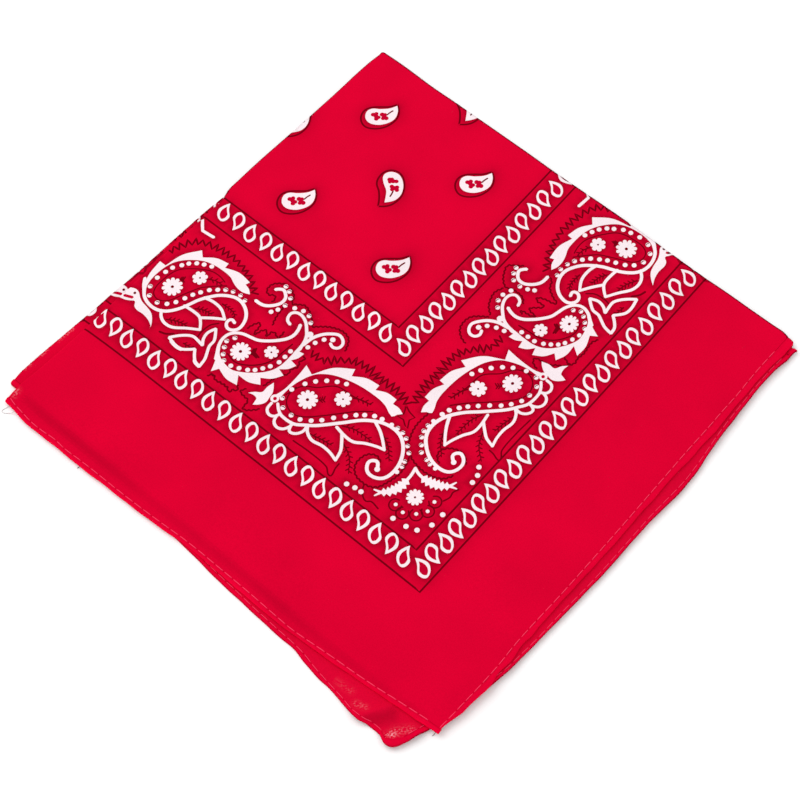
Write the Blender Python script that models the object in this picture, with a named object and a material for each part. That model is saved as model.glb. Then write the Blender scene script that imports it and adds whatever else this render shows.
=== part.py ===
"""A square cotton bandana, folded twice into a quarter and laid flat on a table.

The quarter's plan is measured from the middle of the square, where both folds meet: `across` runs
along the back fold, away from the left fold, and `down` runs along the left fold, towards the front
hem. Every length here is in millimetres and becomes metres in world(). The four layers of cloth lie
on each other: the top quarter, the second quarter, and the two under layers as one rounded solid.
"""

import math
from collections import namedtuple

import bmesh
import bpy
from mathutils import Vector

MM = 0.001
WALL = 1.0  # each showing layer of cloth
CLEAR = 0.3  # between layers, and at each seam
UNDER_HEIGHT = 2.0  # the two under layers together
HEM_RAISE = 0.3  # a top hem's turned cloth stands this much above its panel
HEM_FRONT = 2.4  # hem widths, from the stitching to the edge
HEM_RIGHT = 3.2
FOLD_CORNER = 1.2  # plan radius of the cloth at the corner where both folds meet
DROP_RUN = 7.0  # a layer comes down to the table within this distance of the layer below's edge
PLAN_MIDDLE = (138.42, 144.92)  # (across, down) of the plan's centre, which is the part's origin

SECOND_LIFT = UNDER_HEIGHT + CLEAR  # underside of the second quarter
TOP_LIFT = SECOND_LIFT + WALL + CLEAR  # underside of the top quarter
STACK = TOP_LIFT + WALL  # the top quarter's upper side
LEFT_ROLL = WALL + CLEAR / 2  # outer radius of the fold between the top and second quarters

# An edge is a table of rows: how far along the side, and where the edge is across it.
Edge = namedtuple("Edge", "along at")
TOP_BACK = (  # the back fold, by across
    Edge(0, -2.0), Edge(25, -1.5), Edge(45, -1.0), Edge(105, -0.9), Edge(167, -0.9),
    Edge(193, -0.1), Edge(220, 0.6), Edge(247, 0.9), Edge(268, 0.6), Edge(274, 1.7), Edge(282, 3.6),
)  # fmt: skip
TOP_LEFT = (  # the left fold of the top and second quarters, by down
    Edge(-2, 0.0), Edge(10, -0.8), Edge(55, -1.1), Edge(85, -1.5), Edge(105, -1.4),
    Edge(125, -0.3), Edge(145, 0.1), Edge(194, 1.0), Edge(225, 1.1), Edge(263, 0.0),
    Edge(273, -0.6), Edge(282, 0.7),
)  # fmt: skip
TOP_RIGHT = (  # the top quarter's right hem, by down
    Edge(1, 273.4), Edge(3, 275.6), Edge(6, 276.3), Edge(15, 275.8), Edge(33, 275.0),
    Edge(56, 275.2), Edge(66, 275.9), Edge(90, 275.3), Edge(103, 274.6), Edge(142, 274.9),
    Edge(175, 274.3), Edge(213, 273.6), Edge(224, 274.6), Edge(239, 275.0), Edge(256, 273.5),
    Edge(265, 271.8), Edge(273, 271.2),
)  # fmt: skip
TOP_FRONT = (  # the top quarter's front hem, by across
    Edge(0, 282.0), Edge(10, 282.8), Edge(22, 283.5), Edge(46, 283.0), Edge(66, 282.3),
    Edge(90, 281.5), Edge(111, 280.2), Edge(120, 279.2), Edge(135, 279.2), Edge(150, 279.8),
    Edge(181, 280.0), Edge(207, 278.4), Edge(234, 276.2), Edge(260, 273.9), Edge(272, 272.5),
)  # fmt: skip
SECOND_RIGHT = (  # the second quarter's right hem, by down
    Edge(5, 279.7), Edge(15, 278.4), Edge(30, 277.5), Edge(54, 278.5), Edge(77, 280.0),
    Edge(92, 281.8), Edge(106, 281.9), Edge(129, 280.4), Edge(149, 280.5), Edge(172, 279.6),
    Edge(219, 277.2), Edge(239, 275.0), Edge(257, 271.4), Edge(273, 266.9), Edge(281, 264.6),
    Edge(287, 262.2), Edge(290.5, 260.0), Edge(292, 257.4),
)  # fmt: skip
SECOND_FRONT = (  # the second quarter's front hem, by across
    Edge(0, 280.4), Edge(60, 281.0), Edge(105, 279.6), Edge(119, 280.0), Edge(142, 282.1),
    Edge(176, 283.9), Edge(195, 284.4), Edge(204, 286.4), Edge(218, 287.8), Edge(234, 290.3),
    Edge(239.5, 291.3), Edge(245, 289.4), Edge(250, 289.6), Edge(254, 291.5), Edge(260, 291.8),
)  # fmt: skip
UNDER_LEFT = (  # the left fold of the two under layers, by down
    Edge(2, -0.2), Edge(60, -0.9), Edge(110, -1.7), Edge(150, -2.1), Edge(194, -2.6),
    Edge(210, -3.4), Edge(235, -4.3), Edge(256, -5.1), Edge(266, -5.3), Edge(273, -5.0),
)  # fmt: skip
UNDER_RIGHT = (  # their hems at the right, by down
    Edge(4, 276.6), Edge(30, 275.4), Edge(60, 276.5), Edge(98, 279.8), Edge(150, 278.4),
    Edge(219, 275.0), Edge(240, 272.4), Edge(258, 267.5), Edge(272, 262.5),
)  # fmt: skip
UNDER_FRONT = (  # their hems at the front, by across
    Edge(-6, 272.8), Edge(40, 273.1), Edge(120, 272.0), Edge(200, 271.8), Edge(264, 270.6),
)  # fmt: skip

# A wrinkle is a soft ridge between two places in the plan.
Wrinkle = namedtuple("Wrinkle", "across down to_across to_down half_width height")
SECOND_WRINKLES = (
    Wrinkle(236, 292, 246, 280, 4.0, 2.4),  # the crease that runs up from the front hem's notch
    Wrinkle(257, 289, 263, 279, 5.0, 2.6),  # the slipped corner, lifted along its right side
    Wrinkle(279, 228, 276, 254, 7.0, 0.9),
    Wrinkle(281, 20, 282, 70, 8.0, 0.8),
)
TOP_WRINKLES = (
    Wrinkle(264, 264, 275, 276, 8.0, 0.8),  # the tip of the top quarter stands up a little
    Wrinkle(20, 272, 70, 262, 9.0, 0.5),
    Wrinkle(120, 255, 175, 263, 10.0, 0.5),
    Wrinkle(240, 200, 262, 214, 9.0, 0.5),
    Wrinkle(60, 150, 150, 120, 12.0, 0.35),
)

TOP_COLOUR = (0.73, 0.0, 0.03, 1.0)
UNDER_COLOUR = (0.62, 0.0, 0.03, 1.0)
HEM_COLOUR = (0.66, 0.0, 0.03, 1.0)
CLOTH_ROUGHNESS = 0.85
SHARP_DEGREES = 40.0


def smooth(share):
    share = min(max(share, 0.0), 1.0)
    return share * share * (3 - 2 * share)


def edge_at(rows, along):
    """Where an edge is, on a smooth curve through its rows and straight beyond them."""
    slopes = [(b.at - a.at) / (b.along - a.along) for a, b in zip(rows, rows[1:])]
    if along <= rows[0].along:
        return rows[0].at + slopes[0] * (along - rows[0].along)
    if along >= rows[-1].along:
        return rows[-1].at + slopes[-1] * (along - rows[-1].along)
    i = max(k for k in range(len(rows) - 1) if rows[k].along <= along)
    a, b = rows[i], rows[i + 1]
    start = (slopes[max(i - 1, 0)] + slopes[i]) / 2
    end = (slopes[i] + slopes[min(i + 1, len(slopes) - 1)]) / 2
    run = b.along - a.along
    k = (along - a.along) / run
    return (
        a.at * (1 + 2 * k) * (1 - k) ** 2
        + start * run * k * (1 - k) ** 2
        + b.at * k * k * (3 - 2 * k)
        - end * run * k * k * (1 - k)
    )


class Plan:
    """A four-sided stretch of cloth seen from above, given by its edges.

    left and right are functions of down, back and front of across, and point() blends them, with
    share_across and share_down from 0 to 1.
    """

    def __init__(self, left, right, back, front):
        self.left, self.right, self.back, self.front = left, right, back, front
        self.corners = {
            (i, j): self.corner(side, end)
            for i, side in enumerate((left, right))
            for j, end in enumerate((back, front))
        }

    @staticmethod
    def corner(side, end):
        """The point where a side, by down, meets an end, by across."""
        across, down = side(140.0), 140.0
        for _ in range(12):
            down = end(across)
            across = side(down)
        return across, end(across)

    def point(self, i, j):
        corners = self.corners
        down_left = corners[0, 0][1] * (1 - j) + corners[0, 1][1] * j
        down_right = corners[1, 0][1] * (1 - j) + corners[1, 1][1] * j
        across_back = corners[0, 0][0] * (1 - i) + corners[1, 0][0] * i
        across_front = corners[0, 1][0] * (1 - i) + corners[1, 1][0] * i
        sides = (
            (self.left(down_left), down_left, 1 - i),
            (self.right(down_right), down_right, i),
            (across_back, self.back(across_back), 1 - j),
            (across_front, self.front(across_front), j),
        )
        across = sum(s[0] * s[2] for s in sides)
        down = sum(s[1] * s[2] for s in sides)
        for (a, b), (corner_across, corner_down) in corners.items():
            share = (i if a else 1 - i) * (j if b else 1 - j)
            across -= corner_across * share
            down -= corner_down * share
        return across, down


def top_left(down):
    return edge_at(TOP_LEFT, down)


def top_back(across):
    return edge_at(TOP_BACK, across)


def under_back(across):
    """The under layers stop inside the back fold, and further in at the corner of both folds."""
    corner_room = FOLD_CORNER * (1 - smooth((across - 3) / 6))
    return top_back(across) + STACK / 2 + CLEAR + corner_room


TOP_PLAN = Plan(
    lambda down: top_left(down) + LEFT_ROLL + FOLD_CORNER,
    lambda down: edge_at(TOP_RIGHT, down),
    lambda across: top_back(across) + STACK / 2 + FOLD_CORNER,
    lambda across: edge_at(TOP_FRONT, across),
)
SECOND_PLAN = Plan(
    lambda down: top_left(down) + LEFT_ROLL + CLEAR,
    lambda down: edge_at(SECOND_RIGHT, down),
    lambda across: top_back(across) + STACK / 2 - CLEAR,
    lambda across: edge_at(SECOND_FRONT, across),
)
UNDER_PLAN = Plan(
    lambda down: edge_at(UNDER_LEFT, down),
    lambda down: edge_at(UNDER_RIGHT, down),
    under_back,
    lambda across: edge_at(UNDER_FRONT, across),
)


def wrinkled(rows, across, down):
    """Height that soft ridges add at a place."""
    height = 0.0
    for row in rows:
        run = Vector((row.to_across - row.across, row.to_down - row.down))
        here = Vector((across - row.across, down - row.down))
        share = min(max(here.dot(run) / run.length_squared, 0.0), 1.0)
        away = (here - run * share).length
        height += row.height * math.exp(-((away / row.half_width) ** 2))
    return height


def second_lift(across, down):
    """The second quarter's underside: on the under layers, then down to the table past their edges."""
    past_right = max(0.0, across - edge_at(UNDER_RIGHT, down) - CLEAR)
    past_front = max(0.0, down - edge_at(UNDER_FRONT, across) - CLEAR)
    past = math.hypot(0.45 * past_right, past_front)
    return SECOND_LIFT * (1 - smooth(past / DROP_RUN)) + wrinkled(SECOND_WRINKLES, across, down)


def top_lift(across, down):
    """The top quarter's underside: it lies on the second quarter, and bridges its wrinkles loosely."""
    looseness = 0.2 * wrinkled(SECOND_WRINKLES, across, down)
    below = second_lift(across, down) + WALL + CLEAR
    return below + looseness + wrinkled(TOP_WRINKLES, across, down)


def world(across, down, height):
    middle_across, middle_down = PLAN_MIDDLE
    return Vector(((across - middle_across) * MM, (middle_down - down) * MM, height * MM))


ROLL_STEPS = 6  # round each fold of the top quarter
# Places outwards over a fold of the top quarter: the middle of its corner, the edge of the flat
# cloth, then angles round the fold.
LEVELS = (("flat", 0.0), ("flat", 1.0)) + tuple(
    ("roll", math.pi * k / ROLL_STEPS) for k in range(1, ROLL_STEPS + 1)
)


def rolled(middle, direction, radius, level, outside, raised):
    """A point on a fold of the top quarter: level outwards from middle, along direction in the plan.

    outside is 1 on the cloth's upper face, 0 on its lower one, or a share of the wall between.
    """
    kind, value = level
    flat_top = top_lift(*middle) + WALL
    if kind == "flat":
        reach = FOLD_CORNER * value
        height = flat_top + raised * outside - WALL * (1 - outside)
    else:
        turning = radius - WALL * (1 - outside) + raised * outside * (1 + math.cos(value)) / 2
        reach = FOLD_CORNER + turning * math.sin(value)
        height = flat_top - radius + turning * math.cos(value)
    return (middle[0] + direction[0] * reach, middle[1] + direction[1] * reach, height)


def top_point(column, row, outside, raised=0.0):
    """A point of the top quarter. A column or row is a share of the plan, or a level of its fold."""
    on_left_fold = isinstance(column, tuple)
    on_back_fold = isinstance(row, tuple)
    middle = TOP_PLAN.point(0.0 if on_left_fold else column, 0.0 if on_back_fold else row)
    if not on_left_fold and not on_back_fold:
        return (*middle, top_lift(*middle) + (WALL + raised) * outside)
    if not on_back_fold:
        return rolled(middle, (-1.0, 0.0), LEFT_ROLL, column, outside, raised)
    back_roll = (top_lift(*middle) + WALL) / 2
    if not on_left_fold:
        return rolled(middle, (0.0, -1.0), back_roll, row, outside, raised)
    left, back = LEVELS.index(column), LEVELS.index(row)
    if left >= back:
        turn = math.pi / 4 * (back / left if left else 0.0)
    else:
        turn = math.pi / 4 * (2 - left / back)
    direction = (-math.cos(turn), -math.sin(turn))
    radius = LEFT_ROLL + (back_roll - LEFT_ROLL) * smooth(turn / (math.pi / 2))
    return rolled(middle, direction, radius, LEVELS[max(left, back)], outside, raised)


def top_hem_point(column, row, outside):
    return top_point(column, row, outside, HEM_RAISE)


def second_point(column, row, outside):
    across, down = SECOND_PLAN.point(column, row)
    return (across, down, second_lift(across, down) + WALL * outside)


def shares(coarse, fine_from, fine, last):
    """Shares from 0 to last, in coarse steps up to fine_from and in finer ones after it."""
    return [fine_from * k / coarse for k in range(coarse)] + [
        fine_from + (last - fine_from) * k / fine for k in range(fine + 1)
    ]


# A hem from its stitching to its edge: share of its width, and how much of the wall is missing there
# above and below, so that the stitching draws it in and its outer edge is round.
HemShape = namedtuple("HemShape", "share pinch")
HEM_SHAPE = (
    HemShape(0.0, 0.12), HemShape(0.16, 0.0), HemShape(0.8, 0.0), HemShape(0.94, 0.12), HemShape(1.0, 0.32),
)  # fmt: skip
PLAIN_SIDE = 276.0  # length of a quarter's side, which turns a hem's width into a share of it
FRONT_STITCHING = 1 - HEM_FRONT / PLAIN_SIDE
RIGHT_STITCHING = 1 - HEM_RIGHT / PLAIN_SIDE


def hem_shares(stitching):
    """Shares across a hem, which starts a clear gap beyond its stitching."""
    start = stitching + CLEAR / PLAIN_SIDE
    return [start + (1 - start) * row.share for row in HEM_SHAPE]


def cloth_wall(name, place, columns, rows, colour, hem_along=None):
    """A closed wall of cloth, whose lower and upper face place() gives at each column and row.

    hem_along is "columns" or "rows" for a hem, which has HEM_SHAPE across it.
    """
    work = bmesh.new()
    lower, upper = [], []
    for i, column in enumerate(columns):
        for face, side in ((lower, 0.0), (upper, 1.0)):
            line = []
            for j, row in enumerate(rows):
                pinch = HEM_SHAPE[j if hem_along == "columns" else i].pinch if hem_along else 0.0
                outside = side + pinch * (1 - 2 * side)
                line.append(work.verts.new(world(*place(column, row, outside))))
            face.append(line)
    last_i, last_j = len(columns) - 1, len(rows) - 1
    for i in range(last_i):
        for j in range(last_j):
            for face in (lower, upper):
                work.faces.new((face[i][j], face[i][j + 1], face[i + 1][j + 1], face[i + 1][j]))
    around = [(i, 0) for i in range(last_i)]
    around += [(last_i, j) for j in range(last_j)]
    around += [(i, last_j) for i in range(last_i, 0, -1)]
    around += [(0, j) for j in range(last_j, 0, -1)]
    for (i, j), (next_i, next_j) in zip(around, around[1:] + around[:1]):
        work.faces.new((lower[i][j], upper[i][j], upper[next_i][next_j], lower[next_i][next_j]))
    finish(name, work, colour)


def finish(name, work, colour):
    """Turns a bmesh into a smooth piece of cloth with its own material."""
    bmesh.ops.recalc_face_normals(work, faces=work.faces)
    mesh = bpy.data.meshes.new(name)
    work.to_mesh(mesh)
    work.free()
    cotton = bpy.data.materials.new(name + "_cotton")
    cotton.use_nodes = True
    shader = cotton.node_tree.nodes["Principled BSDF"]
    shader.inputs["Base Color"].default_value = colour
    shader.inputs["Roughness"].default_value = CLOTH_ROUGHNESS
    shader.inputs["Metallic"].default_value = 0.0
    mesh.materials.append(cotton)
    mesh.shade_smooth()
    mesh.set_sharp_from_angle(angle=math.radians(SHARP_DEGREES))
    bpy.context.scene.collection.objects.link(bpy.data.objects.new(name, mesh))


def make_top():
    """The top quarter, turned under at both folds, and its two hems."""
    round_fold = list(LEVELS[:0:-1])
    columns = round_fold + shares(12, 0.60, 14, RIGHT_STITCHING)
    rows = round_fold + shares(20, 0.957, 5, FRONT_STITCHING)
    front_hem, right_hem = hem_shares(FRONT_STITCHING), hem_shares(RIGHT_STITCHING)
    cloth_wall("quarter_top", top_point, columns, rows, TOP_COLOUR)
    cloth_wall("hem_top_front", top_hem_point, columns + right_hem[1:], front_hem, HEM_COLOUR, "columns")
    cloth_wall("hem_top_right", top_hem_point, right_hem, rows, HEM_COLOUR, "rows")


def make_second():
    """The second quarter, under the top one and slipped out from it at the right and in front."""
    columns = shares(8, 0.40, 22, RIGHT_STITCHING)
    rows = shares(20, 0.925, 9, FRONT_STITCHING)
    front_hem, right_hem = hem_shares(FRONT_STITCHING), hem_shares(RIGHT_STITCHING)
    cloth_wall("quarter_second", second_point, columns, rows, UNDER_COLOUR)
    cloth_wall("hem_second_front", second_point, columns + right_hem[1:], front_hem, HEM_COLOUR, "columns")
    cloth_wall("hem_second_right", second_point, right_hem, rows, HEM_COLOUR, "rows")


# The under layers' edges at each height: how far a rounded fold, and two hems with a groove between
# them, stand back from the outline.
UnderEdge = namedtuple("UnderEdge", "height fold hems")
UNDER_EDGES = (
    UnderEdge(0.0, 0.75, 0.40), UnderEdge(0.2, 0.35, 0.12), UnderEdge(0.6, 0.05, 0.0),
    UnderEdge(0.9, 0.0, 0.15), UnderEdge(1.0, 0.0, 0.75), UnderEdge(1.1, 0.0, 0.55),
    UnderEdge(1.4, 0.05, 0.35), UnderEdge(1.8, 0.35, 0.5), UnderEdge(2.0, 0.75, 0.85),
)  # fmt: skip
UNDER_STEPS = 18  # along each side
UNDER_CORNER = 0.010  # share of a side that a round corner takes


def under_outline():
    """Places round the two under layers with the side that each is on, from the back fold's left end."""
    inside = 0.3 * UNDER_CORNER
    side = [UNDER_CORNER + (1 - 2 * UNDER_CORNER) * k / UNDER_STEPS for k in range(UNDER_STEPS + 1)]
    walk = [("left", 0.0, k) for k in side] + [("left", inside, 1 - inside)]
    walk += [("front", k, 1.0) for k in side] + [("front", 1 - inside, 1 - inside)]
    walk += [("right", 1.0, 1 - k) for k in side] + [("right", 1 - inside, inside)]
    walk += [("back", 1 - k, 0.0) for k in side] + [("back", inside, inside)]
    return [(Vector(UNDER_PLAN.point(i, j)), name) for name, i, j in walk]


def make_under():
    """The two under layers as one rounded solid: a fold at the left, a groove between hems elsewhere."""
    work = bmesh.new()
    outline = under_outline()
    rings = []
    for edge in UNDER_EDGES:
        ring = []
        for k, (place, name) in enumerate(outline):
            along = outline[(k + 1) % len(outline)][0] - outline[k - 1][0]
            inwards = Vector((along.y, -along.x)).normalized()
            place = place + inwards * (edge.fold if name == "left" else edge.hems)
            ring.append(work.verts.new(world(*place, edge.height)))
        rings.append(ring)
    for low, high in zip(rings, rings[1:]):
        for k in range(len(outline)):
            work.faces.new((low[k - 1], low[k], high[k], high[k - 1]))
    work.faces.new(rings[0])
    work.faces.new(rings[-1])
    bmesh.ops.triangulate(work, faces=[face for face in work.faces if len(face.verts) > 4])
    finish("under_layers", work, UNDER_COLOUR)


for old in list(bpy.data.objects):
    bpy.data.objects.remove(old, do_unlink=True)
make_under()
make_second()
make_top()
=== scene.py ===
"""A square cotton bandana with a paisley print, folded twice into a quarter and laid flat on a table.

The folded quarter is measured from the place where both folds meet: across along the back fold and
down along the left fold, in millimetres, with height above the table. metres() turns such places into
the model's own. The print is drawn in thousandths of a quarter's sides.
"""

import math

import bmesh
import bpy
import numpy as np
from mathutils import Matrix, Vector, geometry, kdtree, noise


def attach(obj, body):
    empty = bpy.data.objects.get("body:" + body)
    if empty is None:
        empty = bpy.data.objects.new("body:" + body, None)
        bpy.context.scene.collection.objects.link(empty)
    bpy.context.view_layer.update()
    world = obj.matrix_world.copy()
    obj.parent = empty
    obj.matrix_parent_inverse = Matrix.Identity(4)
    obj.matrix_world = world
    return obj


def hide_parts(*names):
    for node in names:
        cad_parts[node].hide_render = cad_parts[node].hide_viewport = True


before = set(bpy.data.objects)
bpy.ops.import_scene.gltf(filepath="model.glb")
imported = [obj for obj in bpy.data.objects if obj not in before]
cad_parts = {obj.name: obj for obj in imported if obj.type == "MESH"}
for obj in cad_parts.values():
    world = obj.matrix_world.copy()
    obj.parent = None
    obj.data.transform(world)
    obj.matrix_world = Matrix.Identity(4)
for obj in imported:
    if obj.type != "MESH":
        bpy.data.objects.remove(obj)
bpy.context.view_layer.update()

# The camera: a long lens, high above the cloth's front right corner, that takes in the whole quarter
# with a narrow margin round it.
CAMERA_PLACE = Vector((0.29308, -0.34015, 0.82116))
CAMERA_AIM = Vector((0.009324, -0.010114, 0.0046))

lens = bpy.data.cameras.new("camera")
lens.lens = 84.58
lens.sensor_width = 36.0
lens.clip_start, lens.clip_end = 0.05, 20.0
camera = bpy.data.objects.new("camera", lens)
camera.location = CAMERA_PLACE
camera.rotation_euler = (CAMERA_AIM - CAMERA_PLACE).to_track_quat("-Z", "Y").to_euler()
bpy.context.scene.collection.objects.link(camera)
bpy.context.scene.camera = camera

# The table: a plain white board that the cloth lies on, lit so that it stays clean white round the
# cloth and only its soft shadow shows.
bpy.ops.mesh.primitive_plane_add(size=6.0, location=(0.0, 0.0, 0.0))
table = bpy.context.object
table.name = "table"
white_board = bpy.data.materials.new("white_board")
white_board.use_nodes = True
board_shader = white_board.node_tree.nodes["Principled BSDF"]
board_shader.inputs["Base Color"].default_value = (0.93, 0.93, 0.93, 1.0)
board_shader.inputs["Roughness"].default_value = 0.9
board_shader.inputs["Specular IOR Level"].default_value = 0.0
table.data.materials.append(white_board)

# The light: a large soft window up to the left, and an even pale room.
WINDOW_PLACE = Vector((-1.7, -0.15, 2.1))

bpy.context.scene.view_settings.view_transform = "Standard"
room = bpy.data.worlds.new("room")
room.use_nodes = True
room.node_tree.nodes["Background"].inputs["Color"].default_value = (1.0, 1.0, 1.0, 1.0)
room.node_tree.nodes["Background"].inputs["Strength"].default_value = 0.95
bpy.context.scene.world = room
window = bpy.data.lights.new("window", "AREA")
window.shape = "SQUARE"
window.size = 2.0
window.energy = 29.0
window_object = bpy.data.objects.new("window", window)
window_object.location = WINDOW_PLACE
window_object.rotation_euler = (-WINDOW_PLACE).to_track_quat("-Z", "Y").to_euler()
bpy.context.scene.collection.objects.link(window_object)

# The print: white and maroon pigment on red cotton, mirrored at the folds, so that one quarter of it
# serves for all four. Each shape is a closed outline from measured places, in the order of printing,
# and is cut into the cloth's mesh later. The field has paisley drops inside two rings of bands.
RED, WHITE, MAROON, SHADE = 0, 1, 2, 3  # SHADE is the darker red inside small white shapes
LINE_WIDTH = 3.4  # of the maroon lines along the bands and round the motifs


def curve(places, pitch=3.0):
    """A smooth line through a few places, with a point about every pitch."""
    places = np.array(places, float)
    places = np.vstack((2 * places[0] - places[1], places, 2 * places[-1] - places[-2]))
    line = []
    for before, a, b, after in zip(places, places[1:], places[2:], places[3:]):
        near = np.linalg.norm(b - a)
        count = max(1, round(near / pitch))
        start = (b - before) * near / max(np.linalg.norm(b - before), 1e-9)
        end = (after - a) * near / max(np.linalg.norm(after - a), 1e-9)
        for k in np.arange(count) / count:
            line.append(
                a * (1 + 2 * k) * (1 - k) ** 2
                + start * k * (1 - k) ** 2
                + b * k * k * (3 - 2 * k)
                - end * k * k * (1 - k)
            )
    line.append(places[-2])
    return np.array(line)


def lengths(line):
    """How far along a line each of its points is."""
    return np.concatenate(([0], np.cumsum(np.linalg.norm(np.diff(line, axis=0), axis=1))))


def sideways(line):
    """Unit vectors to the right of a line's direction, in a plan whose second measure points down."""
    along = np.gradient(line, axis=0)
    along /= np.maximum(np.linalg.norm(along, axis=1, keepdims=True), 1e-9)
    return np.column_stack((-along[:, 1], along[:, 0]))


def stroke(line, *widths):
    """The outline of a brush stroke along a line, whose width runs through the widths given."""
    wide = np.interp(np.linspace(0, 1, len(line)), np.linspace(0, 1, len(widths)), widths)
    side = sideways(line) * (wide / 2)[:, None]
    along = np.gradient(line, axis=0)
    along /= np.linalg.norm(along, axis=1, keepdims=True)
    half = np.linalg.norm(side, axis=1)
    left, right = line + side, line - side
    tip_end = line[-1] + along[-1] * half[-1] * 0.8
    tip_start = line[0] - along[0] * half[0] * 0.8
    return np.vstack((left, [tip_end], right[::-1], [tip_start]))


def dot(centre, radius, sides=10):
    turn = np.arange(sides) * 2 * math.pi / sides
    return np.array(centre) + radius * np.column_stack((np.cos(turn), np.sin(turn)))


def rosette(centre, radius, petals):
    """A round flower with notches between its petals."""
    turn = np.arange(petals * 6) * 2 * math.pi / (petals * 6)
    reach = radius * (0.70 + 0.30 * np.abs(np.cos(turn * petals / 2)) ** 0.5)
    return np.array(centre) + reach[:, None] * np.column_stack((np.cos(turn), np.sin(turn)))


def wavy(line):
    """The same line with a small regular wobble, as the pigment's edge has."""
    steps = lengths(line)
    return line + sideways(line) * (1.1 * np.sin(steps * 2 * math.pi / 8.5))[:, None]


def at_shares(line, shares):
    """Places at shares of a line's length, and the way sideways there."""
    steps = lengths(line)
    side = sideways(line)
    here = np.array(shares) * steps[-1]
    pick = lambda values: np.column_stack([np.interp(here, steps, values[:, k]) for k in (0, 1)])
    return pick(line), pick(side)


def fern(places, reach, barbs, width=3.0):
    """A small dark sprig: a stem with short barbs on both sides."""
    line = curve(places)
    shapes = [stroke(line, width, width * 0.6)]
    roots, side = at_shares(line, np.linspace(0.12, 0.92, barbs))
    for k, (root, across) in enumerate(zip(roots, side)):
        forward = np.array((across[1], -across[0]))
        tip = root + across * reach * (1 if k % 2 else -1) + forward * reach * 0.6
        shapes.append(stroke(np.array([root, (root + tip) / 2, tip]), width, width * 0.7))
    return shapes


def zigzag(places, reach, spikes, width=3.7):
    """A dark line with pointed spikes, uneven in length, to both sides of its way."""
    uneven = np.random.default_rng(spikes)
    shares = (np.arange(2 * spikes + 1) + uneven.uniform(-0.28, 0.28, 2 * spikes + 1)) / (2 * spikes)
    roots, side = at_shares(curve(places), np.clip(shares, 0, 1))
    swing = np.where(
        np.arange(2 * spikes + 1) % 2, 1, -1
    ) * reach / 2 * uneven.uniform(0.6, 1.25, 2 * spikes + 1)
    tips = roots + side * swing[:, None]
    line = [a + (b - a) * k for a, b in zip(tips, tips[1:]) for k in (0, 0.3, 0.7)] + [tips[-1]]
    return stroke(np.array(line), width)


def jagged(line, teeth, depth, *widths):
    """A band along a line with a row of small teeth on both edges."""
    places, side = at_shares(line, np.linspace(0, 1, 2 * teeth + 1))
    wide = np.interp(np.linspace(0, 1, 2 * teeth + 1), np.linspace(0, 1, len(widths)), widths) / 2
    wide = (wide + depth * (np.arange(2 * teeth + 1) % 2))[:, None]
    return np.vstack((places + side * wide, (places - side * wide)[::-1]))


def serrated(inner, start, teeth, end, bulge=0.10):
    """A white band with a smooth inner edge. Its outer edge goes from start over the teeth, each a tip
    and the notch behind it, to end."""
    outer = curve(start + [teeth[0][0]])
    for (_, notch), (tip, _) in zip(teeth, teeth[1:] + [(end, None)]):
        run = np.subtract(tip, notch)
        middle = np.add(notch, tip) / 2 + np.array((run[1], -run[0])) * bulge
        outer = np.vstack((outer, curve([notch, middle, tip], 4.0)))
    return np.vstack((curve(inner), outer[::-1]))


def moved(shape, across, down):
    return np.array(shape) + (across, down)


# A band's drop ring, round at the upper left and drawn out to a tip at the lower right.
RING = [
    (20.3, 6), (15, 2.9), (9, -1.2), (4, -6.5), (0, -11.5), (-4, -14.2), (-10, -14.5), (-16, -13),
    (-19.5, -9.5), (-20, -4.7), (-17.5, 3), (-13, 8.5), (-8, 12.3), (-2, 14.2), (4, 13.4), (10, 11.5),
    (16, 8.8), (20.3, 6)
]
RING_HOLE = [
    (11.2, 5.5), (6.8, 2.2), (2.5, -2.7), (-1.9, -7.5), (-7.4, -8.8), (-12.3, -8.3), (-16.1, -5.5),
    (-14.8, -0.4), (-10.1, 4.9), (-3.4, 7.7), (4.2, 7.7), (11.2, 5.5)
]


def drop_rings(centres, turned, swapped):
    """A row of drop rings; turned ones point up and to the left."""
    shapes = []
    for centre in centres:
        for ink, outline in ((WHITE, RING), (SHADE, RING_HOLE)):
            shape = curve(outline, 3.2)[:-1] * (-1 if turned else 1)
            shapes.append((ink, moved(shape[:, ::-1] if swapped else shape, *centre)))
    return shapes


def nicks(places):
    """Short maroon marks over dots that the maroon line runs across."""
    return [
        (MAROON, stroke(np.array([(x - 3.4, y - 0.6), (x - 0.8, y - 2.6), (x + 3, y - 2.2)]), 1.7))
        for x, y in places
    ]


def whites(*shapes):
    return [(WHITE, shape) for shape in shapes]


def maroons(*shapes):
    return [(MAROON, shape) for shape in shapes]


# One side border's motifs, as they lie along the front of the quarter: the corner paisley, the smaller
# paisley turned the other way with its scrolls, and the one cut by the fold.
s_line = curve([
    (381, 706), (392, 715), (405, 720), (431, 718), (448, 707), (465, 694), (495, 662), (525, 630),
    (559, 612), (593, 613), (619, 635), (631, 667), (625, 696), (600, 705), (585, 689), (595, 678),
    (606, 688)
])
band_inner = [
    (376, 694), (376, 671), (380, 648), (392, 620), (410, 604), (431, 594), (469, 584.5), (512, 582),
    (533, 585), (546, 591), (556, 594)
]
band_start = [(364, 702), (370, 681), (371, 660), (370, 636.5)]
band_teeth = [
    ((367.5, 615), (388, 623)), ((441, 564), (446, 579)), ((497, 561), (498, 572.5)),
    ((540, 562.5), (541, 573.5)), ((568, 577.5), (561, 585))
]
corner_tail_dots = [
    (567, 606.5), (580, 604.6), (593, 605.7), (605, 610.5), (617, 620), (628, 629), (633, 646.5),
    (636, 657), (636, 670.5)
]
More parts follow.
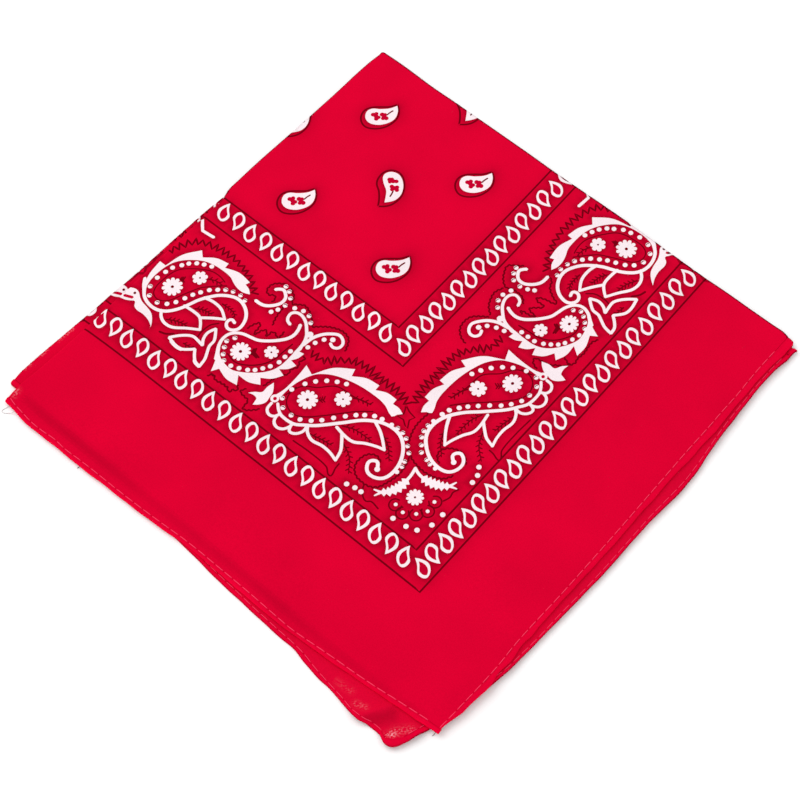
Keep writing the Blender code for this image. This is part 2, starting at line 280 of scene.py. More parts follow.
corner_dots = [
    (394, 706.5), (416, 708), (434, 704), (451, 693), (465, 680), (478, 663), (492, 647), (505, 633),
    (517, 623), (532, 613), (546.5, 609), (380, 693), (381, 669), (391.5, 645), (403, 629),
    (417.5, 615), (433.5, 604.5), (449.5, 597)
]
corner_paisley = maroons(
    zigzag(
        [
            (356, 591), (381.6, 590), (400, 575), (424, 556), (448, 548), (470, 547), (491, 551),
            (512, 548.5), (533, 548.5), (547, 553), (563, 557)
        ],
        19, 18
    ),
    stroke(curve([(380, 684), (390, 654), (414, 636), (440, 612), (476, 608), (512, 600)]), 2.6),
    stroke(
        curve([
            (384, 660), (384.5, 681), (394, 696.5), (415, 704), (434, 697), (457.5, 675), (478, 652.5),
            (500, 628), (524, 608)
        ]),
        2.6
    ),
    stroke(
        curve([(453, 743), (491, 741), (533, 743), (546, 752), (552, 751), (548, 735), (547, 724)]), 3
    ),
    *fern([(501, 665), (524, 656), (562, 654)], 6, 12),
    *fern([(469, 714), (491, 708.8), (512, 706)], 6, 9),
    *fern([(527, 690), (552, 703), (573, 728)], 6, 11),
    *fern([(569, 632), (591, 643), (612, 664)], 6, 11),
    *fern([(433, 655), (440, 646)], 6, 5, 3),
    *fern([(478, 611), (492, 604), (512, 600)], 6, 7),
) + whites(
    serrated(band_inner, band_start, band_teeth, (556, 594)),
    dot((370, 702), 8.2, 14),
    stroke(s_line, 5.5, 6.5, 6.5, 6.5, 6.5),
    dot((606, 689), 5.2),
    *[dot(place, 4.4) for place in corner_tail_dots],
    *[dot(place, 4.7) for place in corner_dots],
    stroke(curve([(372, 712), (374, 726), (384, 732.5), (394, 729), (399, 719)]), 5.5),
    stroke(curve([(396, 724), (401, 737), (412, 742), (423, 738), (429, 728), (430, 720)]), 5.5),
    stroke(curve([(429, 722), (435, 733.5), (446, 731), (454, 719), (453, 706)]), 5.5),
    *[stroke(curve(side), 5.8, 5.8, 5.2) for side in (
        [(541, 621), (559, 629), (574, 639), (591, 653)],
        [(494, 673), (518, 677), (537, 676), (555, 665), (576, 656), (591, 652)],
        [(511, 677), (522, 690), (532, 704), (537.5, 724)],
        [(452, 703), (461, 714), (478, 721), (500, 717.5), (520, 718.5), (538, 723.5)])],
    rosette((417, 666), 19.5, 11),
    rosette((465.5, 624), 16, 8),
) + [
    (SHADE, dot((370.5, 702), 3.6)), (MAROON, dot((417, 666), 3.2, 8)),
    (MAROON, dot((465.5, 624), 2, 6))
]
corner_paisley += nicks(corner_dots[:2] + corner_tail_dots[1:8] + corner_dots[11:12])

hook = curve([
    (301.5, 560), (305.5, 570), (307, 584), (302.5, 597), (292, 610.5), (279, 623), (264, 633.5),
    (250, 637.5), (234, 641.5), (221.5, 649), (213.5, 660), (212, 674), (216.5, 688), (225, 701),
    (232, 712)
])
left_scroll = curve([
    (335, 612), (333, 588), (327, 571.5), (317.5, 560.5), (305, 549.5), (290.5, 544), (279, 545.5),
    (272, 553), (273, 562.5), (278, 569), (286.5, 571.5)
])
right_scroll = curve([
    (334, 588), (337.5, 566), (346.5, 549), (359, 537), (371, 530.5), (382, 533), (389, 541),
    (388, 551), (379, 556.5), (370, 553.5)
])
far_scroll = curve([
    (202, 575), (212, 575), (223, 572), (234.5, 562.5), (242.5, 549.5), (242, 537), (235, 529),
    (226.5, 525.5), (218.5, 530), (214.5, 534.5)
])
small_inner = [
    (222, 690), (230, 700), (244, 707), (268, 709.5), (284, 703), (300, 692), (316, 677.5),
    (327, 661.5), (332, 644), (332.5, 625), (331.5, 605), (330, 590)
]
small_teeth = [
    ((242.5, 736), (250.5, 722.5)), ((298.5, 726.5), (286.5, 709.5)), ((331, 698.5), (321, 688)),
    ((350, 657.5), (335, 653)), ((354, 628), (339, 625.5)), ((348, 600.5), (338, 602.5))
]
small_dots = [
    (228, 657.5), (221, 672), (226.5, 684), (235, 696), (245, 704.5), (262.5, 704.5), (277.5, 698.5),
    (292, 691), (302.5, 682.5), (311, 671), (318.5, 659), (325, 642.5), (325.5, 627.5), (325.5, 612.5),
    (269.5, 541), (286, 535), (301, 536), (313.5, 545), (356, 555), (348, 570.5), (344, 586),
    (225, 517), (237.5, 521), (249, 530.5), (252, 548), (247.5, 563), (241, 574.5)
]
small_paisley = maroons(
    stroke(
        curve([(318, 599), (316, 622), (314, 645), (302, 668), (282, 686), (262, 694), (240, 690)]), 2.8
    ),
    *fern([(274, 663), (279, 657)], 10, 4, 5),
) + whites(
    serrated(small_inner, [(218, 696), (226.5, 703), (234.5, 717.5)], small_teeth, (336, 590), -0.10),
    stroke(hook, 6.5, 6.5, 6, 6, 7),
    stroke(left_scroll, 7, 6.2, 5.8, 5.8),
    stroke(right_scroll, 7, 6.2, 5.8, 5.8),
    stroke(far_scroll, 6.4),
    dot((368.5, 545), 5.2),
    dot((329, 564), 6.5),
    *[dot(place, 4.6) for place in small_dots],
    rosette((255.5, 671.5), 19.5, 12),
    rosette((300, 636.5), 13.8, 7),
    np.vstack((
        curve([
            (346.5, 679.5), (354, 688), (359.5, 697), (361, 705), (363, 718), (357, 729), (348, 737)
        ]),
        curve([(348, 737), (346, 728), (344.5, 723), (335, 721.5), (325, 724.5)]),
        curve([(325, 724.5), (333, 715.5), (343.5, 707), (343.5, 694), (346.5, 679.5)]))),
) + [(MAROON, dot((255.5, 671.5), 3.2, 8)), (MAROON, dot((300, 636.5), 2, 6))]
small_paisley += nicks(small_dots[:5] + small_dots[21:25] + small_dots[16:18])

fold_line = curve([
    (10, 672), (17, 682), (27, 692), (38, 701.5), (52, 707), (68, 708), (82, 704), (95, 694),
    (107, 676), (114, 659), (120, 643), (130, 626), (142, 611), (157, 600), (172, 594), (188, 595),
    (204, 603), (215, 615.5), (220, 631), (218.5, 642), (210.5, 650), (202, 651), (195, 646),
    (193, 639), (197, 633), (206, 635)
])
fold_inner = [
    (38, 699), (26, 684), (21, 668), (20, 650), (22, 630), (28, 612), (38, 598), (50, 587), (62, 578.5),
    (76, 572), (95, 568), (118, 567), (132, 568.5), (145, 574), (158, 577.5), (172, 577.5), (185, 572.5)
]
fold_start = [(26, 692), (14.5, 673), (9, 657), (6.5, 639)]
fold_teeth = [
    ((5.5, 628), (20, 628)), ((49, 560), (61, 570.5)), ((108, 549), (109, 560)),
    ((167, 553.5), (164, 562))
]
tulip = [
    curve([(134.5, 734.5), (144, 722), (156, 710.5), (167, 704.5), (179, 705), (193, 707)]),
    curve([(193, 707), (185, 696), (182, 682), (187.5, 666)]),
]
fold_tail_dots = [(157, 588), (173, 585), (187, 588)]
fold_dots = [
    (65, 695.5), (43, 694), (30, 679), (27, 657), (30, 638), (33.5, 623), (43, 608), (50.5, 597),
    (61.5, 587), (74, 580), (88, 574), (81, 686), (91, 672.5), (98, 656), (104, 641), (111.5, 628),
    (120.5, 614), (132, 603.5), (143.5, 594)
]
fold_paisley = maroons(
    zigzag(
        [
            (2, 603), (14, 571), (29, 554), (47.6, 543), (74, 535.5), (103, 534.5), (130, 538),
            (154, 545), (175, 555), (194, 567)
        ],
        16, 17
    ),
    stroke(
        curve([
            (131, 583), (115, 579.8), (96.5, 581.4), (77.8, 590.5), (59.7, 604.3), (47, 617),
            (40.5, 633), (38.3, 654.5), (39.4, 673), (47, 686.5), (62.3, 689.7), (76.5, 681),
            (83.7, 667.8), (89, 654.5), (96, 638.5), (104.5, 621), (115, 609), (127, 597), (139, 586.5)
        ]),
        2.4
    ),
    stroke(curve([(184, 654), (174, 668), (172, 690), (174, 700)]), 3),
    stroke(curve([(112, 737), (124, 733), (136, 723)]), 4),
    *fern([(128, 660), (142, 651.8), (160.5, 649)], 6, 9),
    *fern([(103, 710.5), (123, 700), (143, 695.8)], 6, 10),
    *fern([(160, 620), (176.5, 619), (188, 620), (197.8, 626)], 5, 10),
    *fern([(62, 633), (68, 628)], 6, 5, 3),
    *fern([(102, 598.5), (115, 592), (131, 590.5)], 6, 6),
    *fern([(163, 726.5), (181.8, 723.8)], 5, 5),
) + whites(
    serrated(fold_inner, fold_start, fold_teeth, (185, 572.5)),
    stroke(fold_line, 6, 6.5, 6.5, 6.5, 6),
    *[dot(place, 4.4) for place in fold_tail_dots],
    *[dot(place, 4.7) for place in fold_dots],
    *[stroke(curve(side), 5.8, 5.8, 5.2) for side in (
        [(124, 632), (144, 627.5), (166, 629.5), (187, 641.5)], [(150, 667), (168, 653), (187, 640.5)],
        [(108, 668), (128, 666), (146, 667), (157, 675), (167, 687)],
        [(82, 702), (93, 713), (107, 718), (124, 715), (145, 700), (167, 686)])],
    rosette((62.5, 653), 20, 11),
    rosette((88.5, 606), 14.8, 7),
    np.vstack((
        curve([
            (4, 704), (13.5, 700), (23, 701.5), (33, 708), (44, 712.5), (60, 715), (73, 719), (83, 727),
            (93, 739.5)
        ]),
        curve([
            (93, 739.5), (79, 733), (63, 730), (47, 731), (38, 728), (31, 720), (24, 724), (15, 729),
            (4, 732)
        ]),
        [(-6, 734), (-4, 722), (4, 718), (-4, 712)])),
    *[stroke(line, 5.6) for line in tulip],
    stroke(
        curve([
            (187.5, 666), (196, 676), (203, 687), (204, 700), (210, 712), (216.5, 725), (219.5, 742)
        ]),
        5.6
    ),
    *[
        stroke(curve(side), 5.6)
        for side in (
            [(219.5, 742), (207, 740), (197, 732), (188, 721.5)],
            [(134.5, 734.5), (155, 738.5), (169, 737), (179, 730), (188, 721.5)]
        )
    ],
    stroke(
        np.array([(-9, 520), (-4, 515), (1.8, 510), (10, 519), (19.2, 527.7), (32, 526.5), (46, 525)]),
        6
    ),
) + [
    (MAROON, dot((18.5, 707.5), 2.8)),
    (SHADE, stroke(np.array([(7, 723.5), (14, 720.5), (22, 717)]), 6)),
    (MAROON, dot((62.5, 653), 3.2, 8)), (MAROON, dot((88.5, 606), 2, 6))
]
fold_paisley += nicks(fold_tail_dots + fold_dots[18:] + fold_dots[:3])


def on_right_border(motif, stretch):
    """The same motif on the right border, which mirrors the front one with its own small shifts."""
    shapes = []
    for ink, shape in motif:
        x, y = shape.T
        if stretch == "small":
            further = np.clip((y - 640) / 95, 0, 1)
            swing = 10 * further * further * (3 - 2 * further) * np.clip((345 - x) / 100, 0, 1)
            leaf = 4 * np.clip((x - 338) / 12, 0, 1) * np.clip((y - 670) / 10, 0, 1)
            shapes.append((ink, np.column_stack((y + 13.5 - swing, x - 14.8 + leaf))))
        elif stretch == "fold":
            shapes.append((ink, np.column_stack((y + 12, 1.035 * x - 20))))
        else:
            shapes.append((
                ink,
                np.column_stack((y + np.interp(y, (600, 630, 670, 745), (15, 17, 15, 10)), x - 13.3))
            ))
    return shapes


front_border_lines = [
    [
        (634.5, 634.5), (641, 658.5), (641.8, 677), (637, 696), (630.5, 713), (618.5, 722.5),
        (602.5, 725), (584, 721.7), (570.5, 707.8), (569, 690.5), (574.5, 677), (588, 669.7), (601, 674)
    ],
    [
        (231, 628), (236, 612), (242.5, 605.5), (247, 615), (249.5, 628), (255, 615), (262, 609),
        (270, 617), (271, 606), (277, 602.5), (288, 606), (289, 590)
    ],
    [(252, 551), (254.5, 570), (259, 586), (262.5, 593)],
    [
        (220, 514), (207, 523.5), (201.5, 534), (204, 546.5), (213.5, 550.5), (221.5, 545),
        (228, 549.5), (228, 558)
    ],
    [(236, 514), (252, 524), (259, 536.5), (268, 532), (280, 525), (294, 528), (308, 537), (322, 549)],
    [(322, 549), (334, 538), (350, 527), (371, 520.5), (388, 524), (396, 534), (402, 548)],
    [
        (350.5, 603.8), (357, 609), (353, 617), (358, 627.8), (351.8, 641), (354.5, 649), (343.8, 665),
        (339.8, 681), (337, 697)
    ],
    [
        (243.8, 745), (251, 738), (261, 742.5), (275.8, 740.6), (289, 740.6), (297, 744.6), (300, 737),
        (306.5, 735), (300, 725)
    ],
    [
        (317, 721), (312.6, 731), (323.8, 734.5), (335.8, 736.6), (339.8, 753), (349, 750.5),
        (363.8, 735.8)
    ],
]
right_border_lines = [
    [
        (539, 198), (528.5, 206), (515.5, 217), (519.5, 232), (528.5, 246), (542.5, 255.5), (553, 251),
        (572, 250.3), (582.5, 254), (589.5, 262)
    ],
    [(540, 260), (533.5, 276), (536.3, 291.5), (544, 307), (558, 319.5)],
    [(559, 325), (546, 333.6), (533.5, 346), (530, 360), (533.5, 377), (546, 389.6), (561.5, 395.7)],
    [
        (589.7, 185), (600, 190), (607, 204), (624.5, 216), (637, 222.4), (616, 228.6), (602, 235.6),
        (607, 241), (623, 242.6), (614, 253), (606, 263.6), (623, 269.7), (596.5, 276), (602, 281)
    ],
    [
        (744.4, 233.2), (739, 243.9), (739.6, 256.4), (741.8, 272.4), (739.6, 288.4), (741.8, 298),
        (736, 306.5), (720.4, 301.7)
    ],
    [
        (736, 306.5), (731, 315.9), (718.6, 323), (710.6, 330), (695.5, 333.7), (679.9, 337),
        (682.2, 346), (695.5, 352.4)
    ],
    [(684, 611), (671.8, 601.6), (670, 588.3), (681, 575), (697, 569), (711.8, 572.3), (722, 582)],
    [
        (605.5, 538), (603, 575), (608.5, 599), (622, 623), (638, 633.6), (659, 639.5), (681, 640),
        (697, 636), (710, 628.3), (719.5, 613.6)
    ],
]
star = [
    (561.6, 560.8), (576.3, 567.5), (591.5, 570), (586.9, 580), (595.7, 595), (578, 586),
    (565.6, 587.5), (570.9, 576.8), (561.6, 560.8)
]
arch_arms = [
    [(643, 719), (652, 710), (657, 701), (661, 691), (662, 682), (662, 671)],
    [(727.4, 632.8), (717, 641), (708, 645), (700, 648), (691, 650), (680, 651)]
]
arch_forks = [
    [(643, 719), (638, 731.5)], [(643, 719), (629.5, 723)], [(727.4, 632.8), (740.5, 628.5)],
    [(727.4, 632.8), (732, 619.5)]
]
corner_spray = maroons(
    *[
        stroke(curve([
            (a + 11.5 * math.cos(t), b + 11.5 * math.sin(t))
            for t in np.linspace(start, start + 5.2, 8)
        ]), 2.8)
        for a, b, start in (
            (728, 672, -2.6), (730, 694, -2.3), (718.5, 712, -1.7), (698, 725, -1.1),
            (678, 721, -0.5))
    ],
    stroke(curve([(744, 627.5), (740, 638), (742, 648.8), (737.6, 662)]), 3),
    stroke(
        curve([(609.6, 726), (613.6, 735), (623, 745), (633.6, 749), (641.6, 743.5), (660, 746)]), 3
    ),
    *[stroke(wavy(curve(line, 2.0)), LINE_WIDTH) for line in right_border_lines],
    stroke(curve(star, 12), 3),
) + whites(
    *[jagged(curve(arm), 6, 5.6, 4, 8, 11, 10, 6) for arm in arch_arms],
    *[stroke(curve(fork, 4.0), 5.5, 2.5) for fork in arch_forks],
    *[
        stroke(curve(leg, 4.0), 5.6)
        for leg in ([(662, 676), (661.5, 660), (658, 644)], [(658, 645), (670, 649.5), (686, 651)])
    ],
    rosette((695, 688), 16, 11),
    *[
        dot(place, 3.6, 8)
        for place in ((727, 672.8), (729.6, 694), (717.6, 710.7), (697.6, 723.5), (678, 720))
    ],
    *[
        dot(place, 4.9)
        for place in (
            (743, 571), (751.7, 585), (753.6, 601.3), (754, 682), (752.5, 709), (739, 733),
            (719.5, 740), (692, 743), (615, 741), (601.6, 742), (585.6, 746)
        )
    ],
) + [(MAROON, dot((695, 688), 2.2, 6))]

# The field's paisley drops, each with a maroon line round it and a sprig of two flowers in it.
drop = [
    (109, 72.5), (118, 81), (125, 95), (125, 107), (119, 121), (109, 132), (94, 138.5), (80, 134.5),
    (72, 121), (75.5, 109.5), (88.8, 99.6), (101.8, 86.4), (109, 72.5)
]
drop_shadow = [
    (107.5, 70), (120, 80), (128, 94), (129, 110), (124, 127), (113, 141), (97, 150), (83, 148),
    (71, 137), (67, 122), (72, 109), (84, 97), (98, 85), (107.5, 70)
]
low_drop = [
    (240.6, 259), (248, 250), (253, 240), (253, 226), (246, 211), (234, 199), (220, 193), (206, 196),
    (198, 206), (199, 216), (209.4, 226.4), (224.6, 236), (233.4, 247.4), (240.6, 259)
]
low_shadow = [
    (237, 273.5), (248, 264), (255, 252), (257, 236), (254, 221), (245, 206), (232, 194.5),
    (218, 189.5), (204, 193), (195, 203), (193.5, 220), (200, 235.5), (215, 246.5), (227, 259),
    (237, 273.5)
]
flowers = [
    (100, 107.5, 4), (112, 109, 4), (104.5, 104.5, 3.6), (107.5, 113, 3.6), (106, 108.5, 4),
    (86.5, 119, 3.8), (90, 113.5, 3.6), (98, 122.5, 3.8), (99, 117, 3.4), (93, 118, 4)
]
low_flowers = [
    (213, 213, 3.8), (216, 209.5, 3.2), (217, 216.5, 3.4), (221, 211.5, 4), (226, 208, 3.6),
    (227, 222.5, 3.6), (232, 227, 3.6), (233.5, 222, 4.2), (236, 217.5, 3.6), (240, 222.5, 3.6)
]
field = []
for across, down in ((2, 0.5), (247.5, 3), (12, 251), (251.5, 249)):
    field += [
        (MAROON, stroke(moved(curve(drop_shadow), across, down), 3.7)),
        (WHITE, moved(curve(drop)[:-1], across, down)),
        *[(SHADE, dot((x + across, y + down), r * 1.25, 9)) for x, y, r in flowers],
        (MAROON, stroke(moved(curve([(108, 102), (108.5, 95), (110.3, 87)]), across, down), 3)),
    ]
for across, down in ((2, 0.5), (-247, -3.5), (-3.7, -244.5)):
    field += [
        (MAROON, stroke(moved(curve(low_shadow), across, down), 3.7)),
        (WHITE, moved(curve(low_drop)[:-1], across, down)),
        *[(SHADE, dot((x + across, y + down), r * 1.25, 9)) for x, y, r in low_flowers],
        (MAROON, stroke(moved(curve([(236, 229), (238, 235), (239.7, 242)]), across, down), 3)),
    ]

# The bands: a maroon line on both sides of each row of drop rings, square at the corner.
half = LINE_WIDTH / 2
lines = []
for right, front in ((446, 448.5), (505.5, 504.5), (762.5, 761), (818.5, 816.5)):
    down_line = np.column_stack((np.full(90, right), np.linspace(-20, front, 90)))
    along_line = np.column_stack((np.linspace(right, -20, 90), np.full(90, front)))
    corner = np.array([(right + half, front + half)])
    lines.append((MAROON, np.vstack((
        down_line - (half, 0), along_line[1:] - (half, half),
        (along_line[::-1] + (0, half))[:-1], corner, (down_line[::-1] + (half, 0))[1:]))))
rings = []
for swapped, bend, upright, turned in (
    (False, ((20, 787.6), (51, 786.5), (86, 787.5), (118, 788.7), (154, 790.6), (185, 790.9)),
     (-15.2, 51.3, 118.3, 185.5, 249, 312, 374.9, 437.7, 500.4, 562.8, 624.6, 686.7, 748.5),
     (20.5, 86.1, 154.1, 218.5, 282.2, 345.5, 407.6, 470.7, 533.7, 595.5, 657.7, 719.5, 780.7)),
    (True,
     (
         (13, 786), (45, 784.8), (150, 784.4), (181, 782.8), (215, 781.8), (600, 781), (687, 782),
         (754, 782.9)
     ),
     (-24.8, 44, 112.9, 181.8, 249.2, 317.2, 385, 452.4, 520, 586.6, 652.8, 720.1),
     (12.3, 79.8, 149.8, 216.8, 285.1, 353.2, 421.2, 488.3, 555.6, 621.6, 688.3, 755.1)),
    (False, ((25, 471.8), (91, 472.4), (157, 474.8), (221, 476.3), (411, 477.6), (474, 478.4)),
     (-9.9, 56.6, 123.2, 188.6, 252.3, 315.2, 377.5, 441.4),
     (25.1, 91.6, 157.6, 222.1, 285.4, 347.9, 411.2, 474.8)),
    (True, ((22, 470.6), (93, 473), (193, 470.1), (261, 469.2), (434, 470.4)),
     (-13, 57.3, 127.7, 195.2, 263.4, 331.9, 400.3),
     (24.5, 95.2, 163.8, 231.5, 299.7, 368.6, 436.3)),
):
    for is_turned, row in ((False, upright), (True, turned)):
        centres = np.column_stack((np.interp(row, *zip(*bend)), row))
        rings += drop_rings(centres[:, ::-1] if swapped else centres, is_turned, swapped)


def drifted(shape):
    """The print runs a little off true near the folds."""
    x, y = shape.T
    back = 6.0 * np.clip(1 - y / 450, 0, 1.1) ** 2 * np.clip(1 - (x - 450) / 700, 0, 1) * (x > 400)
    down = (3.5 * np.clip(1 - x / 150, 0, 1.1) ** 2 + 2.6 * np.clip(1 - x / 450, 0, 1)) * (y > 740)
    left = 5.0 * np.clip(1 - x / 190, 0, 1.1) * (y > 755)
    return np.column_stack((x - back - left, y + down))


quarter_print = field + lines + corner_spray + [
    (MAROON, moved(stroke(wavy(curve(line, 2.0)), LINE_WIDTH), 1.8, 1.0)) for line in front_border_lines
]
for motif, stretch in ((corner_paisley, "corner"), (small_paisley, "small"), (fold_paisley, "fold")):
    quarter_print += [
        (ink, moved(shape, 1.8, 1.0)) for ink, shape in motif
    ] + on_right_border(motif, stretch)
QUARTER_SIDES = np.array((270.0, 276.75))
quarter_print = [(ink, drifted(shape)) for ink, shape in quarter_print] + rings
quarter_print = [(ink, shape / 1000 * QUARTER_SIDES) for ink, shape in quarter_print]

# The cotton: a plain weave dyed red, thin and matt, with the print soaked into its right side. Every
# stretch is a thin closed shell that is cut flat, along the print's edges too, and then laid in place.
CLOTH = 0.45  # thickness, a little fuller than pressed cotton
INK_COLOURS = {
    RED: (0.62, 0.0, 0.025), WHITE: (0.82, 0.71, 0.74), MAROON: (0.15, 0.0, 0.005),
    SHADE: (0.47, 0.0, 0.022)
}
WRONG_SIDE = (0.62, 0.001, 0.027)
# painted sheen: the pale pink that the colour is lightened towards where sheen is painted
PAINTED_SHEEN = (0.86, 0.36, 0.42)
PLAN_MIDDLE = np.array((138.42, 144.92))


def metres(places):
    """From across, down and height in millimetres to the model's own metres."""
    places = np.atleast_2d(places)
    return np.column_stack((
        places[:, 0] - PLAN_MIDDLE[0], PLAN_MIDDLE[1] - places[:, 1], places[:, 2]
    )) / 1000


def cotton(name, thread_bump=0.35):
    """Woven cotton, coloured by the mesh's own print attribute."""
    material = bpy.data.materials.new(name)
    material.use_nodes = True
    nodes, links = material.node_tree.nodes, material.node_tree.links
    shader = nodes["Principled BSDF"]
    shader.inputs["Roughness"].default_value = 0.88
    shader.inputs["Specular IOR Level"].default_value = 0.015
    place = nodes.new("ShaderNodeTexCoord")
    dye = nodes.new("ShaderNodeAttribute")
    dye.attribute_name = "print"
    shades = []
    for scale, detail, low in ((28.0, 3.0, 0.95), (1500.0, 1.0, 0.94)):
        mottle = nodes.new("ShaderNodeTexNoise")
        mottle.inputs["Scale"].default_value = scale
        mottle.inputs["Detail"].default_value = detail
        links.new(place.outputs["Object"], mottle.inputs["Vector"])
        shade = nodes.new("ShaderNodeMapRange")
        shade.inputs["From Min"].default_value = 0.3
        shade.inputs["From Max"].default_value = 0.7
        shade.inputs["To Min"].default_value = low
        shade.inputs["To Max"].default_value = 1.05
        links.new(mottle.outputs["Fac"], shade.inputs["Value"])
        shades.append(shade)
    both = nodes.new("ShaderNodeMath")
    both.operation = "MULTIPLY"
    links.new(shades[0].outputs["Result"], both.inputs[0])
    links.new(shades[1].outputs["Result"], both.inputs[1])
    colour = nodes.new("ShaderNodeVectorMath")
    colour.operation = "SCALE"
    links.new(dye.outputs["Color"], colour.inputs[0])
    links.new(both.outputs["Value"], colour.inputs["Scale"])
    links.new(colour.outputs["Vector"], shader.inputs["Base Color"])
    threads = []
    for direction in ("X", "Y"):
        bands = nodes.new("ShaderNodeTexWave")
        bands.bands_direction = direction
        bands.inputs["Scale"].default_value = 0.3142 / 0.00062
        bands.inputs["Distortion"].default_value = 1.2
        bands.inputs["Detail"].default_value = 1.0
        bands.inputs["Detail Scale"].default_value = 0.15
        links.new(place.outputs["Object"], bands.inputs["Vector"])
        threads.append(bands)
    weave = nodes.new("ShaderNodeMath")
    weave.operation = "MULTIPLY"
    links.new(threads[0].outputs["Fac"], weave.inputs[0])
    links.new(threads[1].outputs["Fac"], weave.inputs[1])
    relief = nodes.new("ShaderNodeBump")
    relief.inputs["Strength"].default_value = thread_bump
    relief.inputs["Distance"].default_value = 0.00012
    links.new(weave.outputs["Value"], relief.inputs["Height"])
    links.new(relief.outputs["Normal"], shader.inputs["Normal"])
    return material


def edge(rows):
    """An edge of the cloth: a smooth curve through rows of how far along and where across it, and
    straight past both ends."""
    along, at = np.array(rows, float).T
    slopes = np.diff(at) / np.diff(along)
    steep = np.concatenate((slopes[:1], (slopes[:-1] + slopes[1:]) / 2, slopes[-1:]))

    def where(place):
        place = np.asarray(place, float)
        i = np.clip(np.searchsorted(along, place, side="right") - 1, 0, len(slopes) - 1)
        run = along[i + 1] - along[i]
        k = np.clip((place - along[i]) / run, 0, 1)
        beyond = place - np.clip(place, along[0], along[-1])
        return (
            at[i] * (1 + 2 * k) * (1 - k) ** 2
            + steep[i] * run * k * (1 - k) ** 2
            + at[i + 1] * k * k * (3 - 2 * k)
            - steep[i + 1] * run * k * k * (1 - k)
            + beyond * np.where(beyond < 0, slopes[0], slopes[-1])
        )

    return where


def smooth(share):
    share = np.clip(share, 0, 1)
    return share * share * (3 - 2 * share)


def steepness(upright):
    """How steeply the cloth turns, from 0 to 1, by the upward part of its normals."""
    return smooth((0.985 - upright) / 0.12)


def ridges(rows, across, down):
    """Height of soft ridges, each from one place to another with a half width and a height."""
    height = np.zeros(np.shape(across))
    for x0, y0, x1, y1, half_width, rise in rows:
        run = np.array((x1 - x0, y1 - y0))
        share = np.clip(((across - x0) * run[0] + (down - y0) * run[1]) / (run @ run), 0, 1)
        away = np.hypot(across - x0 - run[0] * share, down - y0 - run[1] * share)
        height += rise * np.exp(-((away / half_width) ** 2))
    return height


def specks(rows, flat, fineness):
    """How much painted sheen lightens each place: along rows as for ridges(), broken up into uneven
    specks.
    """
    pale = ridges(rows, *flat.T)
    for k in np.nonzero(pale > 0.01)[0]:
        pale[k] *= smooth((noise.noise(Vector((*flat[k] * fineness, 3.0))) + 0.05) / 0.3)
    return np.clip(pale, 0, 0.8)


def inside(polygon, places):
    """Which places are inside a closed outline."""
    x, y = places.T
    hit = np.zeros(len(places), bool)
    x0, y0 = polygon[-1]
    for x1, y1 in polygon:
        if y0 != y1:
            crossing = (y0 > y) != (y1 > y)
            hit ^= crossing & (x < (x1 - x0) * (y - y0) / (y1 - y0) + x0)
        x0, y0 = x1, y1
    return hit


def cut(outline, grid, shapes):
    """Flat cloth inside outline, in triangles that follow the printed shapes' edges: its points, its
    triangles and each triangle's ink."""
    points, edges = [], []
    for loop in [outline] + [shape for _, shape in shapes]:
        first = len(points)
        points += [Vector(place) for place in loop]
        edges += [(first + k, first + (k + 1) % len(loop)) for k in range(len(loop))]
    points += [Vector(place) for place in grid[inside(outline, grid)]]
    found, _, faces, *_ = geometry.delaunay_2d_cdt(points, edges, [], 0, 1e-5)
    flat = np.array([tuple(place) for place in found])
    triangles = np.array([face for face in faces if len(face) == 3])
    middles = flat[triangles].mean(axis=1)
    (ax, ay), (bx, by) = (
        flat[triangles[:, 1]] - flat[triangles[:, 0]]
    ).T, (flat[triangles[:, 2]] - flat[triangles[:, 0]]).T
    area = ax * by - ay * bx
    kept = inside(outline, middles) & (np.abs(area) > 1e-9)
    triangles, middles, area = triangles[kept], middles[kept], area[kept]
    triangles[area > 0] = triangles[area > 0][:, ::-1]
    ink = np.zeros(len(triangles), int)
    for colour, shape in shapes:
        low, high = shape.min(axis=0), shape.max(axis=0)
        near = np.nonzero(((middles > low) & (middles < high)).all(axis=1))[0]
        if len(near):
            ink[near[inside(shape, middles[near])]] = colour
    used, triangles = np.unique(triangles, return_inverse=True)
    return flat[used], triangles.reshape(-1, 3), ink


def normals_of(place, flat, reach=0.05):
    """Unit normals of a placed sheet at its flat points, upwards where it lies right side up."""
    across = place(flat + (reach, 0)) - place(flat - (reach, 0))
    down = place(flat + (0, reach)) - place(flat - (0, reach))
    normals = np.cross(across, down)
    return normals / np.maximum(np.linalg.norm(normals, axis=1, keepdims=True), 1e-12)


def rim_of(flat, triangles):
    """The closed line round a flat cut."""
    directed = np.vstack([triangles[:, [k, (k + 1) % 3]] for k in range(3)])
    size = len(flat)
    loose = directed[
        ~np.isin(directed[:, 0] * size + directed[:, 1], directed[:, 1] * size + directed[:, 0])
    ]
    following = dict(loose.tolist())
    walks = []
    while following:
        walk = [next(iter(following))]
        while walk[-1] in following:
            walk.append(following.pop(walk[-1]))
        walks.append(walk[:-1])
    return flat[max(walks, key=len)]


